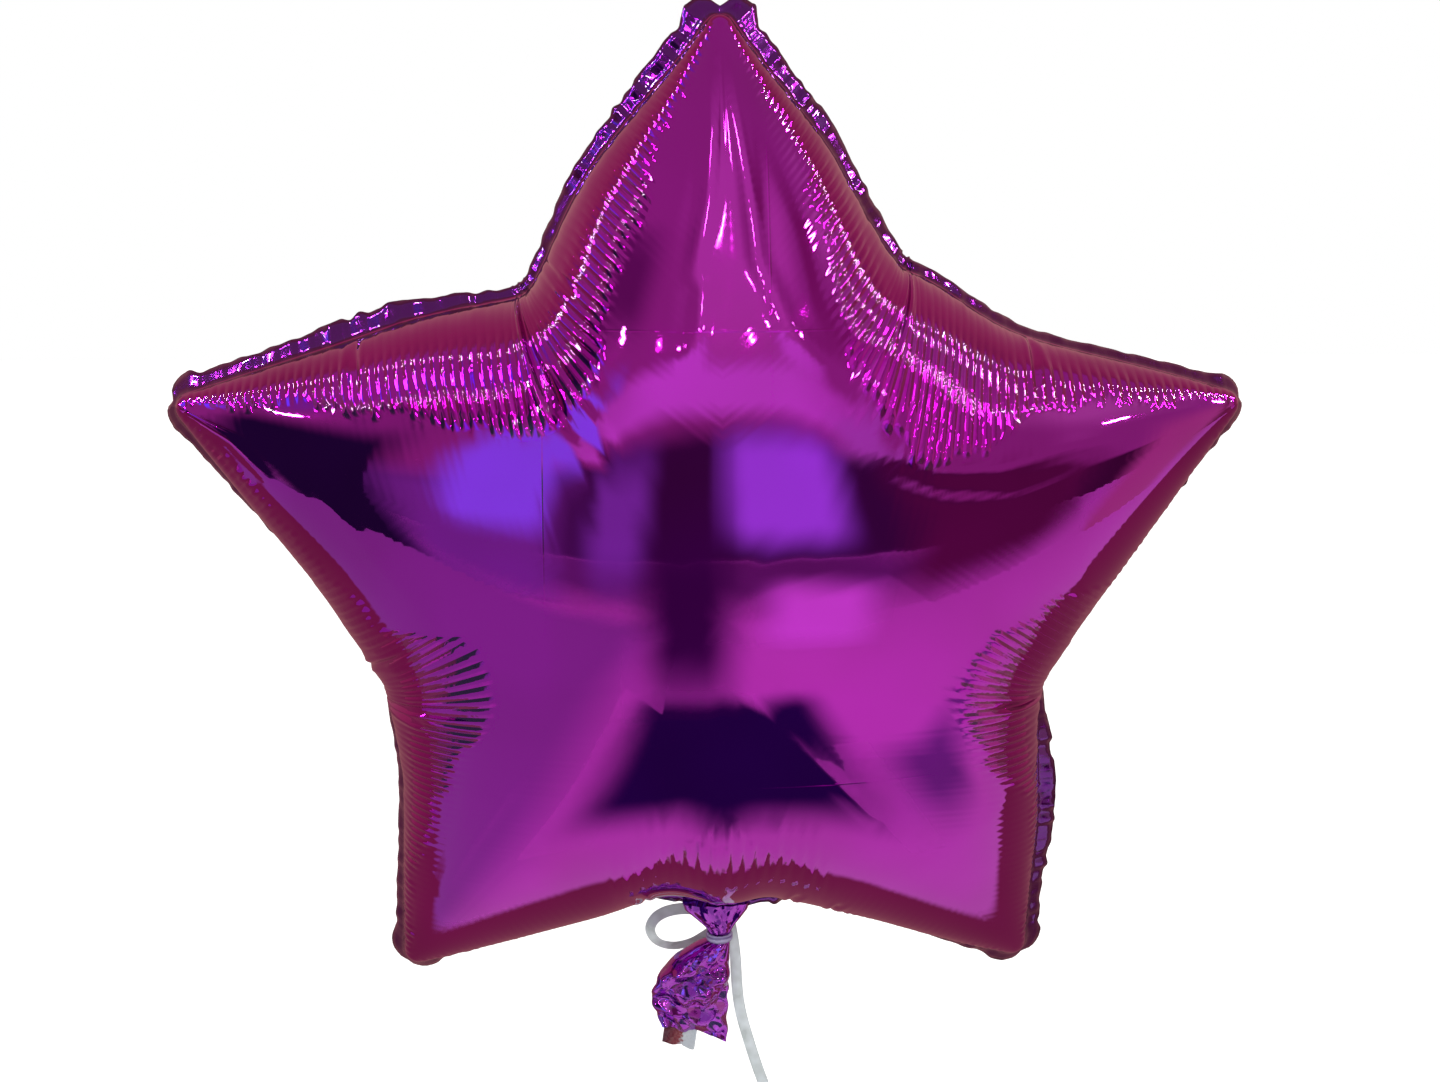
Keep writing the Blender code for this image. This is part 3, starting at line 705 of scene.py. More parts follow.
def foil_material(puckered):
    made, tree, shader = new_material("magenta_foil" if puckered else "tail_foil", Metallic=1.0,
                                      Coat_Weight=0.6, Coat_Roughness=0.03, Coat_IOR=1.5)
    place = add_node(tree, "ShaderNodeTexCoord").outputs["Object"]
    cloud = add_node(tree, "ShaderNodeTexNoise", {"Vector": place}, Scale=1 / cloud_size, Detail=2.0)
    cloud = cloud.outputs["Fac"]
    tint = add_node(tree, "ShaderNodeValToRGB", {"Fac": cloud})
    tint.color_ramp.elements[0].color = linear("#aa06a4")
    tint.color_ramp.elements[0].position = 0.35
    tint.color_ramp.elements[1].color = linear("#b60ab4")
    tint.color_ramp.elements[1].position = 0.65
    dust = add_node(tree, "ShaderNodeTexNoise", {"Vector": place}, Scale=1 / dust_size, Detail=5.0,
                    Roughness=0.7)
    sheen = add_node(tree, "ShaderNodeMapRange", {"Value": dust.outputs["Fac"]}, From_Min=0.4, From_Max=0.75,
                     To_Min=0.025, To_Max=0.065)
    height = add_node(tree, "ShaderNodeMath", [cloud, 0.08], operation="MULTIPLY")
    if puckered:
        # The weld mask darkens the colour as painted shade and makes the weld rougher
        welded = weld_mask(tree)
        share = add_node(tree, "ShaderNodeMath", [welded, 0.75], operation="MULTIPLY")
        dull = add_node(tree, "ShaderNodeMath", [welded, 0.12], operation="MULTIPLY")
        sheen = add_node(tree, "ShaderNodeMath", [sheen, dull], operation="ADD")
        height = add_node(tree, "ShaderNodeMath", [height, pucker_relief(tree)], operation="ADD")
        height = add_node(tree, "ShaderNodeMath", [height, packing_folds(tree, place)], operation="ADD")
    else:
        # Mixes the tail's tint toward lilac in clouds, a painted reflection colour
        share = add_node(tree, "ShaderNodeMath", [cloud, tail_share], operation="MULTIPLY")
        height = add_node(tree, "ShaderNodeMath", [height, crushed_facets(tree, place)], operation="ADD")
    shade = add_node(tree, "ShaderNodeMixRGB", {"Fac": share, "Color1": tint},
                     Color2=linear(weld_painted_shade if puckered else tail_painted_lilac))
    bump = add_node(tree, "ShaderNodeBump", {"Height": height}, Strength=1.0, Distance=0.001)
    tree.links.new(shade.outputs["Color"], shader.inputs["Base Color"])
    tree.links.new(sheen.outputs[0], shader.inputs["Roughness"])
    tree.links.new(bump.outputs["Normal"], shader.inputs["Normal"])
    return made


# Each facet of the crushed tail leans its own way, more so below the tie
def crushed_facets(tree, place):
    crush = add_node(tree, "ShaderNodeTexVoronoi", {"Vector": place}, feature="F1", Scale=1 / facet_size)
    offset = add_node(tree, "ShaderNodeVectorMath", [place, crush.outputs["Position"]], operation="SUBTRACT")
    lean = add_node(tree, "ShaderNodeVectorMath", [crush.outputs["Color"], (0.5, 0.5, 0.5)],
                    operation="SUBTRACT")
    slope = add_node(tree, "ShaderNodeVectorMath", [offset, lean], operation="DOT_PRODUCT").outputs["Value"]
    facet = add_node(tree, "ShaderNodeMath", [slope, facet_slope], operation="MULTIPLY")
    level = add_node(tree, "ShaderNodeSeparateXYZ", [place]).outputs["Z"]
    drop = add_node(tree, "ShaderNodeMath", [tie_level, level], operation="SUBTRACT")
    slack = add_node(tree, "ShaderNodeMapRange", {"Value": drop}, interpolation_type="SMOOTHSTEP",
                     From_Min=0.009, From_Max=0.017, To_Min=0.15, To_Max=1.15)
    return add_node(tree, "ShaderNodeMath", [facet, slack], operation="MULTIPLY")


# The weld is rougher than the film, and its colour is mixed toward dark violet as painted shade for the dark
# reflection along the flange: one outside the seam, none inside it
def weld_mask(tree):
    spot = add_node(tree, "ShaderNodeSeparateXYZ", [add_node(tree, "ShaderNodeTexCoord").outputs["UV"]])
    return add_node(tree, "ShaderNodeMapRange", {"Value": spot.outputs["Y"]}, interpolation_type="SMOOTHSTEP",
                    From_Min=0.08, From_Max=0.095, To_Min=1.0, To_Max=0.0)


# Thin straight lines left where the flat star was folded for its packet: axis, place, middle and half
# length in millimetres
fold_width = 0.0005
fold_lines = [("Z", 104, -4, 80), ("X", 18.5, 128, 60), ("X", -66, 40, 50), ("Z", -70, 40, 50)]


def packing_folds(tree, place):
    split = add_node(tree, "ShaderNodeSeparateXYZ", [place])
    centre = {"X": star_centre.x, "Z": star_centre.z}
    total = 0.0
    for axis, spot, middle, half in fold_lines:
        other = "X" if axis == "Z" else "Z"
        spans = [(axis, spot * 0.001, fold_width), (other, middle * 0.001, half * 0.001)]
        near = []
        for name, step, half_span in spans:
            gap = add_node(tree, "ShaderNodeMath", [split.outputs[name], centre[name] + step],
                           operation="SUBTRACT")
            gap = add_node(tree, "ShaderNodeMath", [gap], operation="ABSOLUTE")
            near.append(add_node(tree, "ShaderNodeMapRange", {"Value": gap}, From_Min=0.0, From_Max=half_span,
                                 To_Min=1.0, To_Max=0.0))
        line = add_node(tree, "ShaderNodeMath", near, operation="MULTIPLY")
        total = add_node(tree, "ShaderNodeMath", [total, line], operation="ADD")
    return add_node(tree, "ShaderNodeMath", [total, 0.03], operation="MULTIPLY")


# Fine dark creases over the rim: one spike on a ramp along the weld for each
def rim_lines(tree, along_uv, depth):
    node = add_node(tree, "ShaderNodeValToRGB", {"Fac": along_uv})
    stops = [(0.0, 0.0), (1.0, 0.0)]
    for angle, length, deep, wide in rim_creases[:10]:
        near = np.argmin(np.abs((seam_angle - angle + 180) % 360 - 180))
        spot = float(pucker_phase[near] / pucker_count)
        stops += [(spot - 0.0004, 0.0), (spot, min(1.0, deep / 2.2)), (spot + 0.0004, 0.0)]
    while len(node.color_ramp.elements) < len(stops):
        node.color_ramp.elements.new(0.5)
    for element, (spot, value) in zip(node.color_ramp.elements, sorted(stops)):
        element.position = spot
        element.color = (value, value, value, 1.0)
    fade = add_node(tree, "ShaderNodeMapRange", {"Value": depth}, interpolation_type="SMOOTHSTEP",
                    From_Min=0.014, From_Max=0.038, To_Min=-0.8, To_Max=0.0)
    return add_node(tree, "ShaderNodeMath", [node, fade], operation="MULTIPLY")


# Round-topped ridges with sharp valleys, in millimetres, in step with the mesh's own corrugations
def pucker_relief(tree):
    spot = add_node(tree, "ShaderNodeSeparateXYZ", [add_node(tree, "ShaderNodeTexCoord").outputs["UV"]])
    ends = add_node(tree, "ShaderNodeAttribute", attribute_name="pucker_reach").outputs["Fac"]
    share = add_node(tree, "ShaderNodeAttribute", attribute_name="pucker_share").outputs["Fac"]
    phase = add_node(tree, "ShaderNodeMath", [spot.outputs["X"], pucker_count], operation="MULTIPLY")
    depth = add_node(tree, "ShaderNodeMath", [spot.outputs["Y"], 0.1], operation="SUBTRACT")
    depth = add_node(tree, "ShaderNodeMath", [depth, 0.1], operation="MULTIPLY")
    number = add_node(tree, "ShaderNodeMath", [phase], operation="FLOOR")
    luck = add_node(tree, "ShaderNodeTexWhiteNoise", {"W": number}, noise_dimensions="1D").outputs["Value"]

    swing = add_node(tree, "ShaderNodeMath", [phase], operation="FRACT")
    swing = add_node(tree, "ShaderNodeMath", [swing, 2.0, -1.0], operation="MULTIPLY_ADD")
    swing = add_node(tree, "ShaderNodeMath", [swing], operation="ABSOLUTE")
    valley = add_node(tree, "ShaderNodeMath", [swing, 1.8], operation="POWER")
    crest = add_node(tree, "ShaderNodeMath", [1.0, valley], operation="SUBTRACT")

    early = add_node(tree, "ShaderNodeMath", [ends, 0.28], operation="MULTIPLY")
    early = add_node(tree, "ShaderNodeMath", [early, 0.012], operation="MINIMUM")
    start = add_node(tree, "ShaderNodeMath", [share, -0.016, 0.014], operation="MULTIPLY_ADD")
    start = add_node(tree, "ShaderNodeMath", [start, early], operation="ADD")
    start_done = add_node(tree, "ShaderNodeMath", [start, 0.005], operation="ADD")
    begun = add_node(tree, "ShaderNodeMapRange", {"Value": depth, "From Min": start, "From Max": start_done},
                     interpolation_type="SMOOTHSTEP", To_Max=0.78)
    root = add_node(tree, "ShaderNodeMath", [share], operation="FLOOR")
    rim = add_node(tree, "ShaderNodeMath", [root, 0.22, begun], operation="MULTIPLY_ADD")

    end = add_node(tree, "ShaderNodeMath", [luck, 0.004, ends], operation="MULTIPLY_ADD")
    end = add_node(tree, "ShaderNodeMath", [end, 0.0065], operation="SUBTRACT")
    end_done = add_node(tree, "ShaderNodeMath", [end, 0.0045], operation="ADD")
    inside = add_node(tree, "ShaderNodeMapRange", {"Value": depth, "From Min": end, "From Max": end_done},
                      interpolation_type="SMOOTHSTEP", To_Min=1.0, To_Max=0.0)
    band = add_node(tree, "ShaderNodeMath", [rim, inside], operation="MULTIPLY")

    step = add_node(tree, "ShaderNodeMath", [depth, 330.0], operation="MULTIPLY")
    bead_place = add_node(tree, "ShaderNodeCombineXYZ", [number, step])
    bead = add_node(tree, "ShaderNodeTexNoise", {"Vector": bead_place}, Scale=1.0, Detail=1.0).outputs["Fac"]
    bead = add_node(tree, "ShaderNodeMath", [bead, 0.5, 0.75], operation="MULTIPLY_ADD")
    tall = add_node(tree, "ShaderNodeMath", [luck, 0.15, 0.30], operation="MULTIPLY_ADD")
    for factor in (share, bead, crest, band):
        tall = add_node(tree, "ShaderNodeMath", [tall, factor], operation="MULTIPLY")
    creases = rim_lines(tree, spot.outputs["X"], depth)
    return add_node(tree, "ShaderNodeMath", [tall, creases], operation="ADD")


build_envelope(foil_material(True))


# Gathered neck and tail
# The two films run on below the bottom notch: pleated into the tie, then a flat crumpled tail.
# Sharp creases over the whole tail give its broken, glittering reflections.
tie_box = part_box("neck_tie")
tie_level = (tie_box[0][2] + tie_box[1][2]) / 2
neck_drop = 0.0118
neck_start = tie_level + neck_drop
tail_length = 0.0470
tail_ring = 72
tail_rings = 84
tail_folds = 7
pleat_depth = 0.0013
fold_depth = 0.0013
tie_half_height = 0.0026


# Left and right edges and half depth, in millimetres, at stations down from the tie
def tail_profile(level):
    drop = tie_level - level
    stations = [-0.0200, -0.0130, -0.0090, -0.0050, -0.0015, 0.0015, 0.0040, 0.0097, 0.0168, 0.0240, 0.0310,
                0.0380, 0.0470]
    right = [15.5, 14.5, 11.6, 8.4, 6.6, 6.6, 6.6, 6.5, 6.3, 6.0, 5.8, 5.6, 5.4]
    left = [-15.5, -13.5, -9.0, -4.6, -2.6, -2.6, -8.6, -17.6, -24.4, -27.4, -28.6, -27.2, -24.0]
    deep = [5.0, 4.6, 4.3, 3.8, 3.5, 3.5, 4.8, 6.4, 6.6, 5.6, 4.2, 2.8, 1.4]
    return [np.interp(drop, stations, line) * 0.001 for line in (left, right, deep)]


def build_tail(made):
    luck = np.random.default_rng(23)
    bottom = tie_level - tail_length
    bm = bmesh.new()
    rings = []
    folds = [(luck.uniform(0, math.pi), luck.uniform(0.0035, 0.0085), luck.uniform(0, 2))
             for _ in range(tail_folds)]
    for r in range(tail_rings):
        part = r / (tail_rings - 1)
        level = neck_start + 0.004 - part * (neck_start + 0.004 - bottom)
        left, right, deep = tail_profile(level)
        tied = math.exp(-((level - tie_level) / tie_half_height) ** 2)
        loose = float(smooth((tie_level - level - 0.009) / 0.010))
        ring = []
        for k in range(tail_ring):
            angle = 2 * math.pi * k / tail_ring
            across, out = math.cos(angle), math.sin(angle)
            x = (left + right) / 2 + (right - left) / 2 * across
            pleat = abs((across * 4.3 + 0.4 * math.sin(3 * part * 6) + 20) % 2 - 1) - 0.5
            y = deep * math.copysign(abs(out) ** 0.75, out)
            side = 1 if out > 0 else -1
            y += (1 - tied) * (pleat_depth * pleat * (1 - 0.4 * loose)) * side * abs(out)
            sway = 0.0
            for turn, pitch, phase in folds:
                place = (x * math.cos(turn) + level * math.sin(turn)) / pitch + phase
                sway += abs(place % 2 - 1) - 0.5
            y += loose * fold_depth * sway + loose * 0.0012 * math.sin(3.3 * across + 14 * part)
            z = level + float(smooth(part * 3 - 2)) * (0.0007 * math.sin(9 * across + 2) - 0.0042 * across)
            x += loose * 0.0004 * math.sin(part * 47 + 2 * across)
            ring.append(bm.verts.new(Vector((star_centre.x + x, y, z))))
        rings.append(ring)
    for upper, lower in zip(rings, rings[1:]):
        for k in range(tail_ring):
            after = (k + 1) % tail_ring
            bm.faces.new((upper[k], upper[after], lower[after], lower[k]))
    bm.faces.new(rings[0])
    bm.faces.new(rings[-1])
    bmesh.ops.recalc_face_normals(bm, faces=bm.faces)
    mesh = bpy.data.meshes.new("gathered_tail")
    bm.to_mesh(mesh)
    bm.free()
    mesh.shade_smooth()
    mesh.set_sharp_from_angle(angle=math.radians(24))
    piece = add_piece("gathered_tail", mesh, made)
    return piece


tail = build_tail(foil_material(False))
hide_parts("envelope")


# Tie and filling valve
# A turn of pale lilac ribbon holds the neck shut, and its knots are of the same ribbon.
# The valve's film tongue shows below the tail: brown-red and printed at the left, clear at the right.

# The same ribbon wound tight: its turns show as fine lilac bands, with painted shade in the grooves between
# turns and lighter crests
turn_spacing = 0.002417


def tie_material():
    made, tree, shader = new_material("wound_ribbon", Metallic=0.0, IOR=1.5, Coat_Weight=0.3)
    place = add_node(tree, "ShaderNodeTexCoord").outputs["Object"]
    turns = add_node(tree, "ShaderNodeTexWave", {"Vector": place}, bands_direction="Z",
                     Scale=math.pi / 10 / turn_spacing, Distortion=1.5, Detail=2.0)
    # Painted shade: the colour follows the turns' bump, darker in the grooves and lighter on the crests
    shade = add_node(tree, "ShaderNodeValToRGB", {"Fac": turns.outputs["Fac"]})
    shade.color_ramp.elements[0].color = linear("#6d5a8a")
    shade.color_ramp.elements[1].color = linear("#a79cc0")
    tree.links.new(shade.outputs["Color"], shader.inputs["Base Color"])
    rough = add_node(tree, "ShaderNodeMapRange", {"Value": turns.outputs["Fac"]}, To_Min=0.25, To_Max=0.4)
    tree.links.new(rough.outputs["Result"], shader.inputs["Roughness"])
    bump = add_node(tree, "ShaderNodeBump", {"Height": turns.outputs["Fac"]}, Strength=0.5, Distance=0.0003)
    tree.links.new(bump.outputs["Normal"], shader.inputs["Normal"])
    return made


tie_finish = tie_material()
for name in ("neck_tie", "ribbon_knot", "end_knot"):
    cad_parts[name].material_slots[0].material = tie_finish


# Clear plastic film with a brown-red print that fades to the right: a soft gloss with specks
speck_size = 0.001111


def valve_material():
    made, tree, shader = new_material("valve_film", Metallic=0.0, IOR=1.5, Coat_Weight=0.5,
                                      Coat_Roughness=0.1)
    place = add_node(tree, "ShaderNodeTexCoord")
    split = add_node(tree, "ShaderNodeSeparateXYZ", {"Vector": place.outputs["UV"]})
    print_noise = add_node(tree, "ShaderNodeTexNoise", {"Vector": place.outputs["Object"]},
                           Scale=1 / speck_size, Detail=3.0)
    speck = add_node(tree, "ShaderNodeMath", [print_noise.outputs["Fac"], 0.5, -0.25],
                     operation="MULTIPLY_ADD")
    print_edge = add_node(tree, "ShaderNodeMath", [split.outputs["X"], speck], operation="ADD")
    shade = add_node(tree, "ShaderNodeValToRGB", {"Fac": print_edge})
    shade.color_ramp.elements[0].color = linear("#551822")
    shade.color_ramp.elements[0].position = 0.1
    shade.color_ramp.elements[1].color = linear("#b9bfc4")
    shade.color_ramp.elements[1].position = 0.66
    shade.color_ramp.elements.new(0.52).color = linear("#7e3038")
    tree.links.new(shade.outputs["Color"], shader.inputs["Base Color"])
    rough = add_node(tree, "ShaderNodeMapRange", {"Value": print_noise.outputs["Fac"]}, To_Min=0.12,
                     To_Max=0.45)
    tree.links.new(rough.outputs["Result"], shader.inputs["Roughness"])
    bump = add_node(tree, "ShaderNodeBump", {"Height": print_noise.outputs["Fac"]}, Strength=0.6,
                    Distance=0.0003)
    tree.links.new(bump.outputs["Normal"], shader.inputs["Normal"])
    return made


def build_valve(made):
    low, high = [Vector(corner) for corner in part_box("filling_valve")]
    middle = (low + high) / 2
    across, down = 28, 16
    wide, tall = 0.0143, 0.0085
    bm = bmesh.new()
    uv = bm.loops.layers.uv.new("UVMap")
    sheets = []
    for face_side in (-1, 1):
        sheet = []
        for j in range(down + 1):
            line = []
            for i in range(across + 1):
                u, v = i / across - 0.5, j / down - 0.5
                step = 0.0006 if u > 0.12 else 0.0
                x = middle.x + u * wide - 0.0014 * (v + 0.5) + 0.0007
                z = middle.z - v * tall - 0.22 * u * wide - step + 0.0004 * math.sin(11 * u)
                y = middle.y + face_side * 0.00013 + 0.0005 * math.sin(9 * u + 3 * v) - 0.0016 * (v + 0.5)
                line.append(bm.verts.new((x, y + 0.0008, z)))
            sheet.append(line)
        sheets.append(sheet)
    front, back = sheets
    quads = []
    for j in range(down):
        for i in range(across):
            quads.append([(front, j, i), (front, j, i + 1), (front, j + 1, i + 1), (front, j + 1, i)])
            quads.append([(back, j, i), (back, j + 1, i), (back, j + 1, i + 1), (back, j, i + 1)])
    rim = [(0, i) for i in range(across)] + [(j, across) for j in range(down)]
    rim += [(down, i) for i in range(across, 0, -1)] + [(j, 0) for j in range(down, 0, -1)]
    for (j, i), (k, m) in zip(rim, rim[1:] + rim[:1]):
        quads.append([(front, j, i), (back, j, i), (back, k, m), (front, k, m)])
    for quad in quads:
        face = bm.faces.new([sheet[j][i] for sheet, j, i in quad])
        for loop, (_, j, i) in zip(face.loops, quad):
            loop[uv].uv = (i / across, 1 - j / down)
    bmesh.ops.recalc_face_normals(bm, faces=bm.faces)
    mesh = bpy.data.meshes.new("valve_tongue")
    bm.to_mesh(mesh)
    bm.free()
    mesh.shade_smooth()
    mesh.set_sharp_from_angle(angle=math.radians(50))
    piece = add_piece("valve_tongue", mesh, made)
    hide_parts("filling_valve")


build_valve(valve_material())


# Stage
# A pale floor in a white world, with soft panels round the star that only its mirror sees.
# They are placed by the direction that they lie in from the star: degrees to the right and degrees up.
def direction(right, up):
    a, b = math.radians(right), math.radians(up)
    return Vector((math.sin(a) * math.cos(b), -math.cos(a) * math.cos(b), math.sin(b)))


def mirror_only(panel):
    panel.visible_camera = False
    panel.visible_diffuse = False
    panel.visible_shadow = False


# A glowing sheet with soft edges
def soft_sheet(name, centre, half_x, half_y, colour, strength, feather):
    mesh = bpy.data.meshes.new(name)
    corners = [centre - half_x - half_y, centre + half_x - half_y, centre + half_x + half_y,
               centre - half_x + half_y]
    mesh.from_pydata(corners, [], [(0, 1, 2, 3)])
    uv = mesh.uv_layers.new(name="UVMap")
    for loop, spot in enumerate(((0, 0), (1, 0), (1, 1), (0, 1))):
        uv.data[loop].uv = spot
    panel = bpy.data.objects.new(name, mesh)
    bpy.context.scene.collection.objects.link(panel)
    made = bpy.data.materials.new(name)
    made.use_nodes = True
    tree = made.node_tree
    tree.nodes.clear()
    place = add_node(tree, "ShaderNodeTexCoord").outputs["UV"]
    split = add_node(tree, "ShaderNodeSeparateXYZ", {"Vector": place})
    edges = []
    for axis in "XY":
        middle = add_node(tree, "ShaderNodeMath", [split.outputs[axis], 0.5], operation="PINGPONG")
        edges.append(add_node(tree, "ShaderNodeMapRange", {"Value": middle}, interpolation_type="SMOOTHSTEP",
                              From_Min=0.0, From_Max=feather))
    mask = add_node(tree, "ShaderNodeMath", edges, operation="MULTIPLY")
    light = add_node(tree, "ShaderNodeEmission", Color=linear(colour), Strength=strength)
    clear = add_node(tree, "ShaderNodeBsdfTransparent")
    mix = add_node(tree, "ShaderNodeMixShader", [mask, clear, light])
    add_node(tree, "ShaderNodeOutputMaterial", {"Surface": mix.outputs[0]})
    mesh.materials.append(made)
    mirror_only(panel)


def soft_panel(name, right, up, wide, tall, colour, strength, far, feather):
    ahead = direction(right, up)
    level = Vector((math.cos(math.radians(right)), math.sin(math.radians(right)), 0.0))
    half_x = level * far * math.tan(math.radians(wide / 2))
    half_y = ahead.cross(level) * far * math.tan(math.radians(tall / 2))
    soft_sheet(name, star_centre + ahead * far, half_x, half_y, colour, strength, feather)


def flat_flag(name, place, half_x, half_y, colour, strength, feather):
    soft_sheet(name, star_centre + Vector(place), Vector((half_x, 0, 0)), Vector((0, half_y, 0)), colour,
               strength, feather)


# Far behind the panels, a dome that goes from dim violet in front to dusty pink behind
def tent():
    bpy.ops.mesh.primitive_uv_sphere_add(segments=48, ring_count=24, radius=12, location=star_centre)
    dome = bpy.context.object
    dome.name = "studio_tent"
    made = bpy.data.materials.new("studio_tent")
    made.use_nodes = True
    tree = made.node_tree
    tree.nodes.clear()
    place = add_node(tree, "ShaderNodeTexCoord").outputs["Object"]
    split = add_node(tree, "ShaderNodeSeparateXYZ", {"Vector": place})
    depth = add_node(tree, "ShaderNodeMapRange", {"Value": split.outputs["Y"]}, From_Min=-12.0,
                     From_Max=12.0)
    shade = add_node(tree, "ShaderNodeValToRGB", {"Fac": depth.outputs["Result"]})
    ramp = shade.color_ramp
    ramp.elements[0].position = 0.10
    ramp.elements[0].color = linear("#4a3252")
    ramp.elements[1].position = 0.95
    ramp.elements[1].color = linear("#b8817c")
    for spot, colour in ((0.32, "#4f3144"), (0.50, "#957064"), (0.70, "#b17970")):
        ramp.elements.new(spot).color = linear(colour)
    light = add_node(tree, "ShaderNodeEmission", {"Color": shade.outputs["Color"]}, Strength=1.0)
    add_node(tree, "ShaderNodeOutputMaterial", {"Surface": light.outputs[0]})
    dome.data.materials.append(made)
    mirror_only(dome)


# Rows of narrow strip lamps overhead: they put the bright lines on the ridges
def strip_lamps(name, height, across, ahead, half_x, half_y, colour, strength):
    corners, quads = [], []
    for x in across:
        for y in ahead:
            first = len(corners)
            for dx, dy in ((-1, -1), (1, -1), (1, 1), (-1, 1)):
                corners.append(star_centre + Vector((x + dx * half_x, y + dy * half_y, height)))
            quads.append(tuple(range(first, first + 4)))
    mesh = bpy.data.meshes.new(name)
    mesh.from_pydata(corners, [], quads)
    lamps = bpy.data.objects.new(name, mesh)
    bpy.context.scene.collection.objects.link(lamps)
    made = bpy.data.materials.new(name)
    made.use_nodes = True
    made.node_tree.nodes.clear()
    light = add_node(made.node_tree, "ShaderNodeEmission", Color=linear(colour), Strength=strength)
    add_node(made.node_tree, "ShaderNodeOutputMaterial", {"Surface": light.outputs[0]})
    mesh.materials.append(made)
    mirror_only(lamps)


tent()
flat_flag("far_floor", (0.0, -4.2, -0.59), 6.0, 2.6, "#84748c", 0.85, 0.35)
flat_flag("floor_flag", (0.06, -0.68, -0.6), 0.38, 0.42, "#310f5b", 1.0, 0.22)
flat_flag("floor_left", (-1.5, -0.4, -0.6), 1.35, 1.9, "#b9bfca", 0.85, 0.14)
flat_flag("floor_right", (0.66, -0.46, -0.6), 0.34, 0.22, "#8c8ca4", 1.0, 0.4)
flat_flag("rear_floor", (0.0, 2.97, -0.58), 6.0, 3.05, "#8a555a", 1.15, 0.006)
strip_lamps("side_lamps", 1.5, (-1.3, 1.3), (-1.9, -0.9, 0.1), 0.035, 0.09, "#fff2ff", 140.0)
strip_lamps("far_side_lamps", 1.5, (-2.2, 2.2), (-0.9, 0.1), 0.035, 0.09, "#fff2ff", 140.0)
for number, (right, up, tall, colour) in enumerate((
        (-96, 24, 9, "#c9b4ff"), (84, 24, 8, "#ffdff6"), (98, 30, 8, "#ffe9f6"))):
    soft_panel("wall_lamp_%d" % number, right, up, 1.6, tall, colour, 130.0, 2.1, 0.3)
strip_lamps("front_lamps", 1.5, (-0.62, -0.05, 0.33), (-2.35,), 0.012, 0.04, "#fff2ff", 110.0)
for number, (right, up, tall) in enumerate(((-3, 57, 8), (6, 47, 7), (1, 38, 4))):
    soft_panel("streak_lamp_%d" % number, right, up, 1.7, tall, "#fff2ff", 60.0, 2.6, 0.5)
# Name, degrees right and up, width and height in degrees, colour, strength, distance and feather
mirror_panels = [
    ("ceiling", 0, 58, 150, 90, "#b49aa4", 1.0, 3.4, 0.10),
    ("ceiling_bright", 12, 44, 42, 50, "#e4e4d8", 1.0, 3.1, 0.35),
    ("ceiling_left_flag", -40, 41, 38, 22, "#7b5874", 1.0, 3.0, 0.4),
    ("ceiling_right_flag", 46, 42, 14, 36, "#9a6581", 1.0, 3.0, 0.4),
    ("ceiling_right", 70, 42, 26, 30, "#daf0cc", 1.0, 2.9, 0.45),
    ("ceiling_band", 2, 24, 76, 13, "#f0fffc", 1.1, 2.6, 0.35),
    ("left_tip_panel", -84, 31, 20, 10, "#6c9cff", 2.4, 2.2, 0.3),
    ("left_flag", -60.5, 3, 30, 62, "#2b2c45", 1.0, 2.5, 0.22),
    ("left_wall", -38, 0, 34, 40, "#9aa6bd", 1.0, 2.45, 0.3),
    ("ceiling_left_cool", -86, 42, 44, 26, "#8f8fe4", 1.0, 2.95, 0.5),
    ("window", -35, 13, 20, 34, "#84d0ea", 2.1, 2.3, 0.28),
    ("window_side", -16, 2, 16, 36, "#9fbcd4", 1.0, 2.35, 0.4),
    ("middle_panel", 14, 7, 30, 26, "#b4e0ff", 1.4, 2.3, 0.3),
    ("low_panel", 20, -15, 26, 16, "#f1fffc", 1.3, 1.7, 0.35),
    ("right_panel", 33, 17, 18, 12, "#dcffea", 0.9, 2.3, 0.4),
    ("right_flag", 48, 0, 36, 38, "#704359", 1.0, 2.2, 0.3),
    ("far_right_panel", 76, -6, 20, 66, "#d5c8ae", 0.95, 2.2, 0.3),
    ("standing_flag", -4, -14, 24, 52, "#4c1a5c", 1.0, 1.0, 0.4),
]
for panel in mirror_panels:
    soft_panel(*panel)

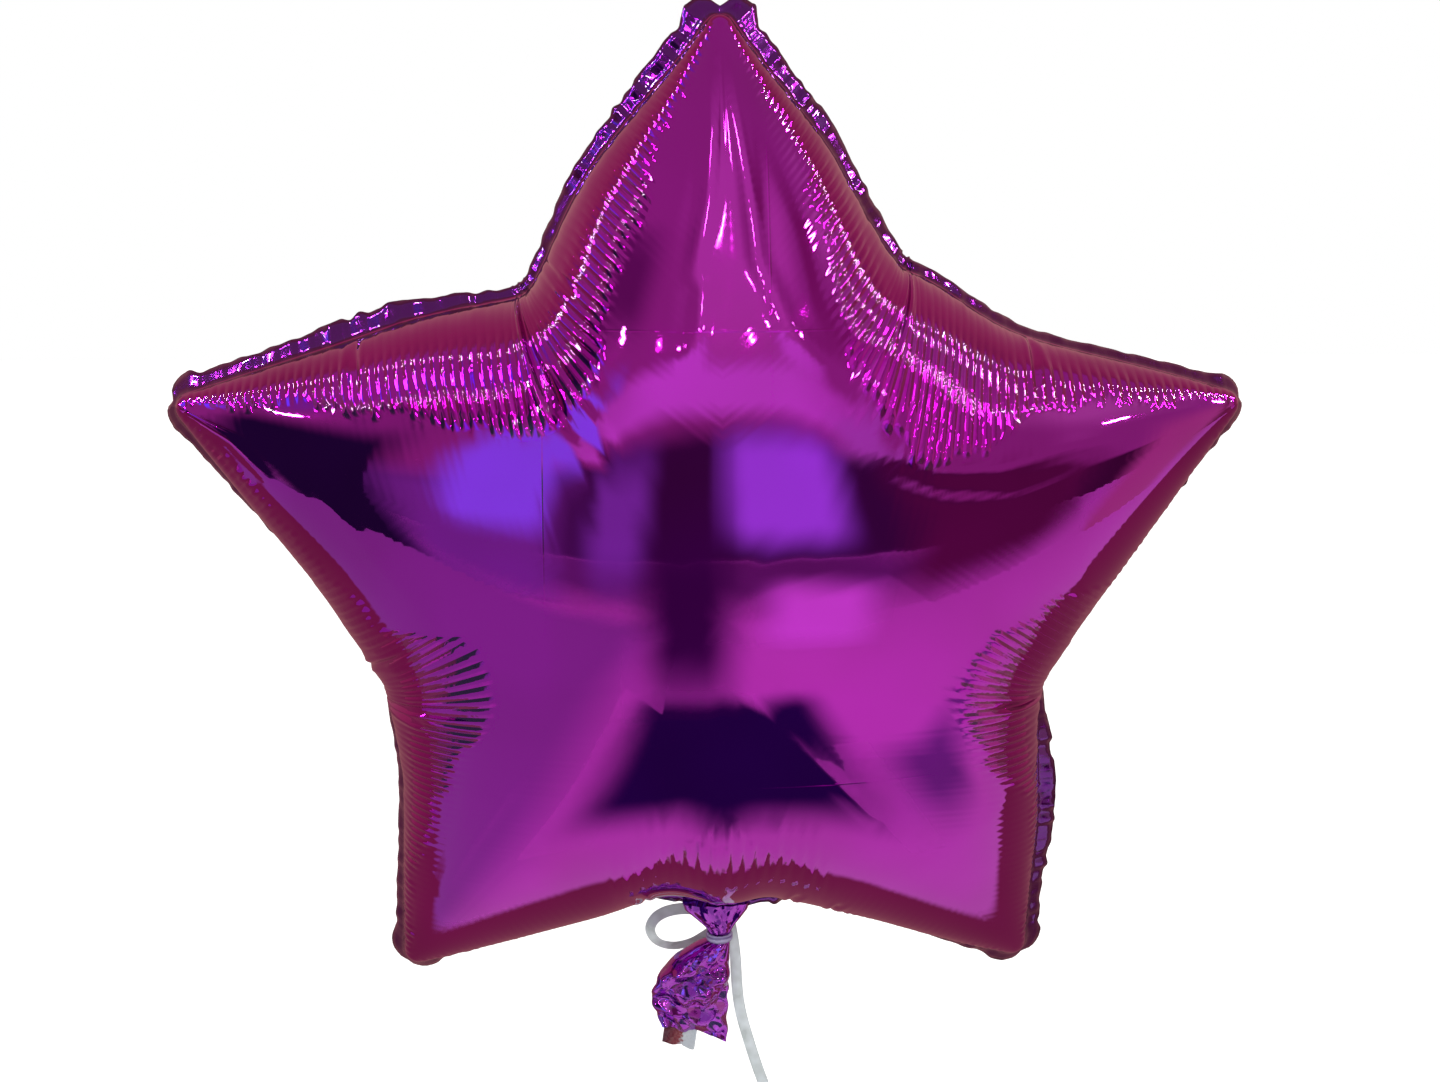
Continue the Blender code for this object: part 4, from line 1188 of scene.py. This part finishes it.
floor_half = 6
floor_drop = 0.62
floor_mesh = bpy.data.meshes.new("floor")
floor_corners = [(x * floor_half, y * floor_half, 0) for x, y in ((-1, -1), (1, -1), (1, 1), (-1, 1))]
floor_mesh.from_pydata(floor_corners, [], [(0, 1, 2, 3)])
floor = bpy.data.objects.new("floor", floor_mesh)
floor.location = (0, 0, star_centre.z - floor_drop)
bpy.context.scene.collection.objects.link(floor)
floor_finish, floor_tree, floor_shader = new_material("pale_floor", Roughness=0.9)
floor_shader.inputs["Base Color"].default_value = linear("#f4f2f0")
floor_path = add_node(floor_tree, "ShaderNodeLightPath")
floor_lift = add_node(floor_tree, "ShaderNodeMath", [floor_path.outputs["Is Camera Ray"], 0.6],
                      operation="MULTIPLY")
floor_tree.links.new(floor_lift.outputs[0], floor_shader.inputs["Emission Strength"])
floor_shader.inputs["Emission Color"].default_value = (1, 1, 1, 1)
floor_mesh.materials.append(floor_finish)

world = bpy.data.worlds.new("studio")
bpy.context.scene.world = world
world.use_nodes = True
tree = world.node_tree
tree.nodes.clear()
path = add_node(tree, "ShaderNodeLightPath")
seen = path.outputs["Is Camera Ray"]
for ray in ("Is Glossy Ray", "Is Transmission Ray"):
    seen = add_node(tree, "ShaderNodeMath", [seen, path.outputs[ray]], operation="MAXIMUM")
level = add_node(tree, "ShaderNodeMapRange", {"Value": seen}, To_Min=0.75, To_Max=1.0)
back = add_node(tree, "ShaderNodeBackground", {"Strength": level.outputs["Result"]},
                Color=linear("#ffffff"))
add_node(tree, "ShaderNodeOutputWorld", {"Surface": back.outputs["Background"]})


key_data = bpy.data.lights.new("key_panel", "AREA")
key_data.shape = "RECTANGLE"
key_data.size, key_data.size_y = 0.5, 0.25
key_data.energy = 14
key = bpy.data.objects.new("key_panel", key_data)
key.location = star_centre + Vector((0.5, -1.6, 1.4))
key.rotation_euler = (star_centre - key.location).to_track_quat("-Z", "Y").to_euler()
key.visible_glossy = False
bpy.context.scene.collection.objects.link(key)

bpy.context.scene.view_settings.view_transform = "Standard"
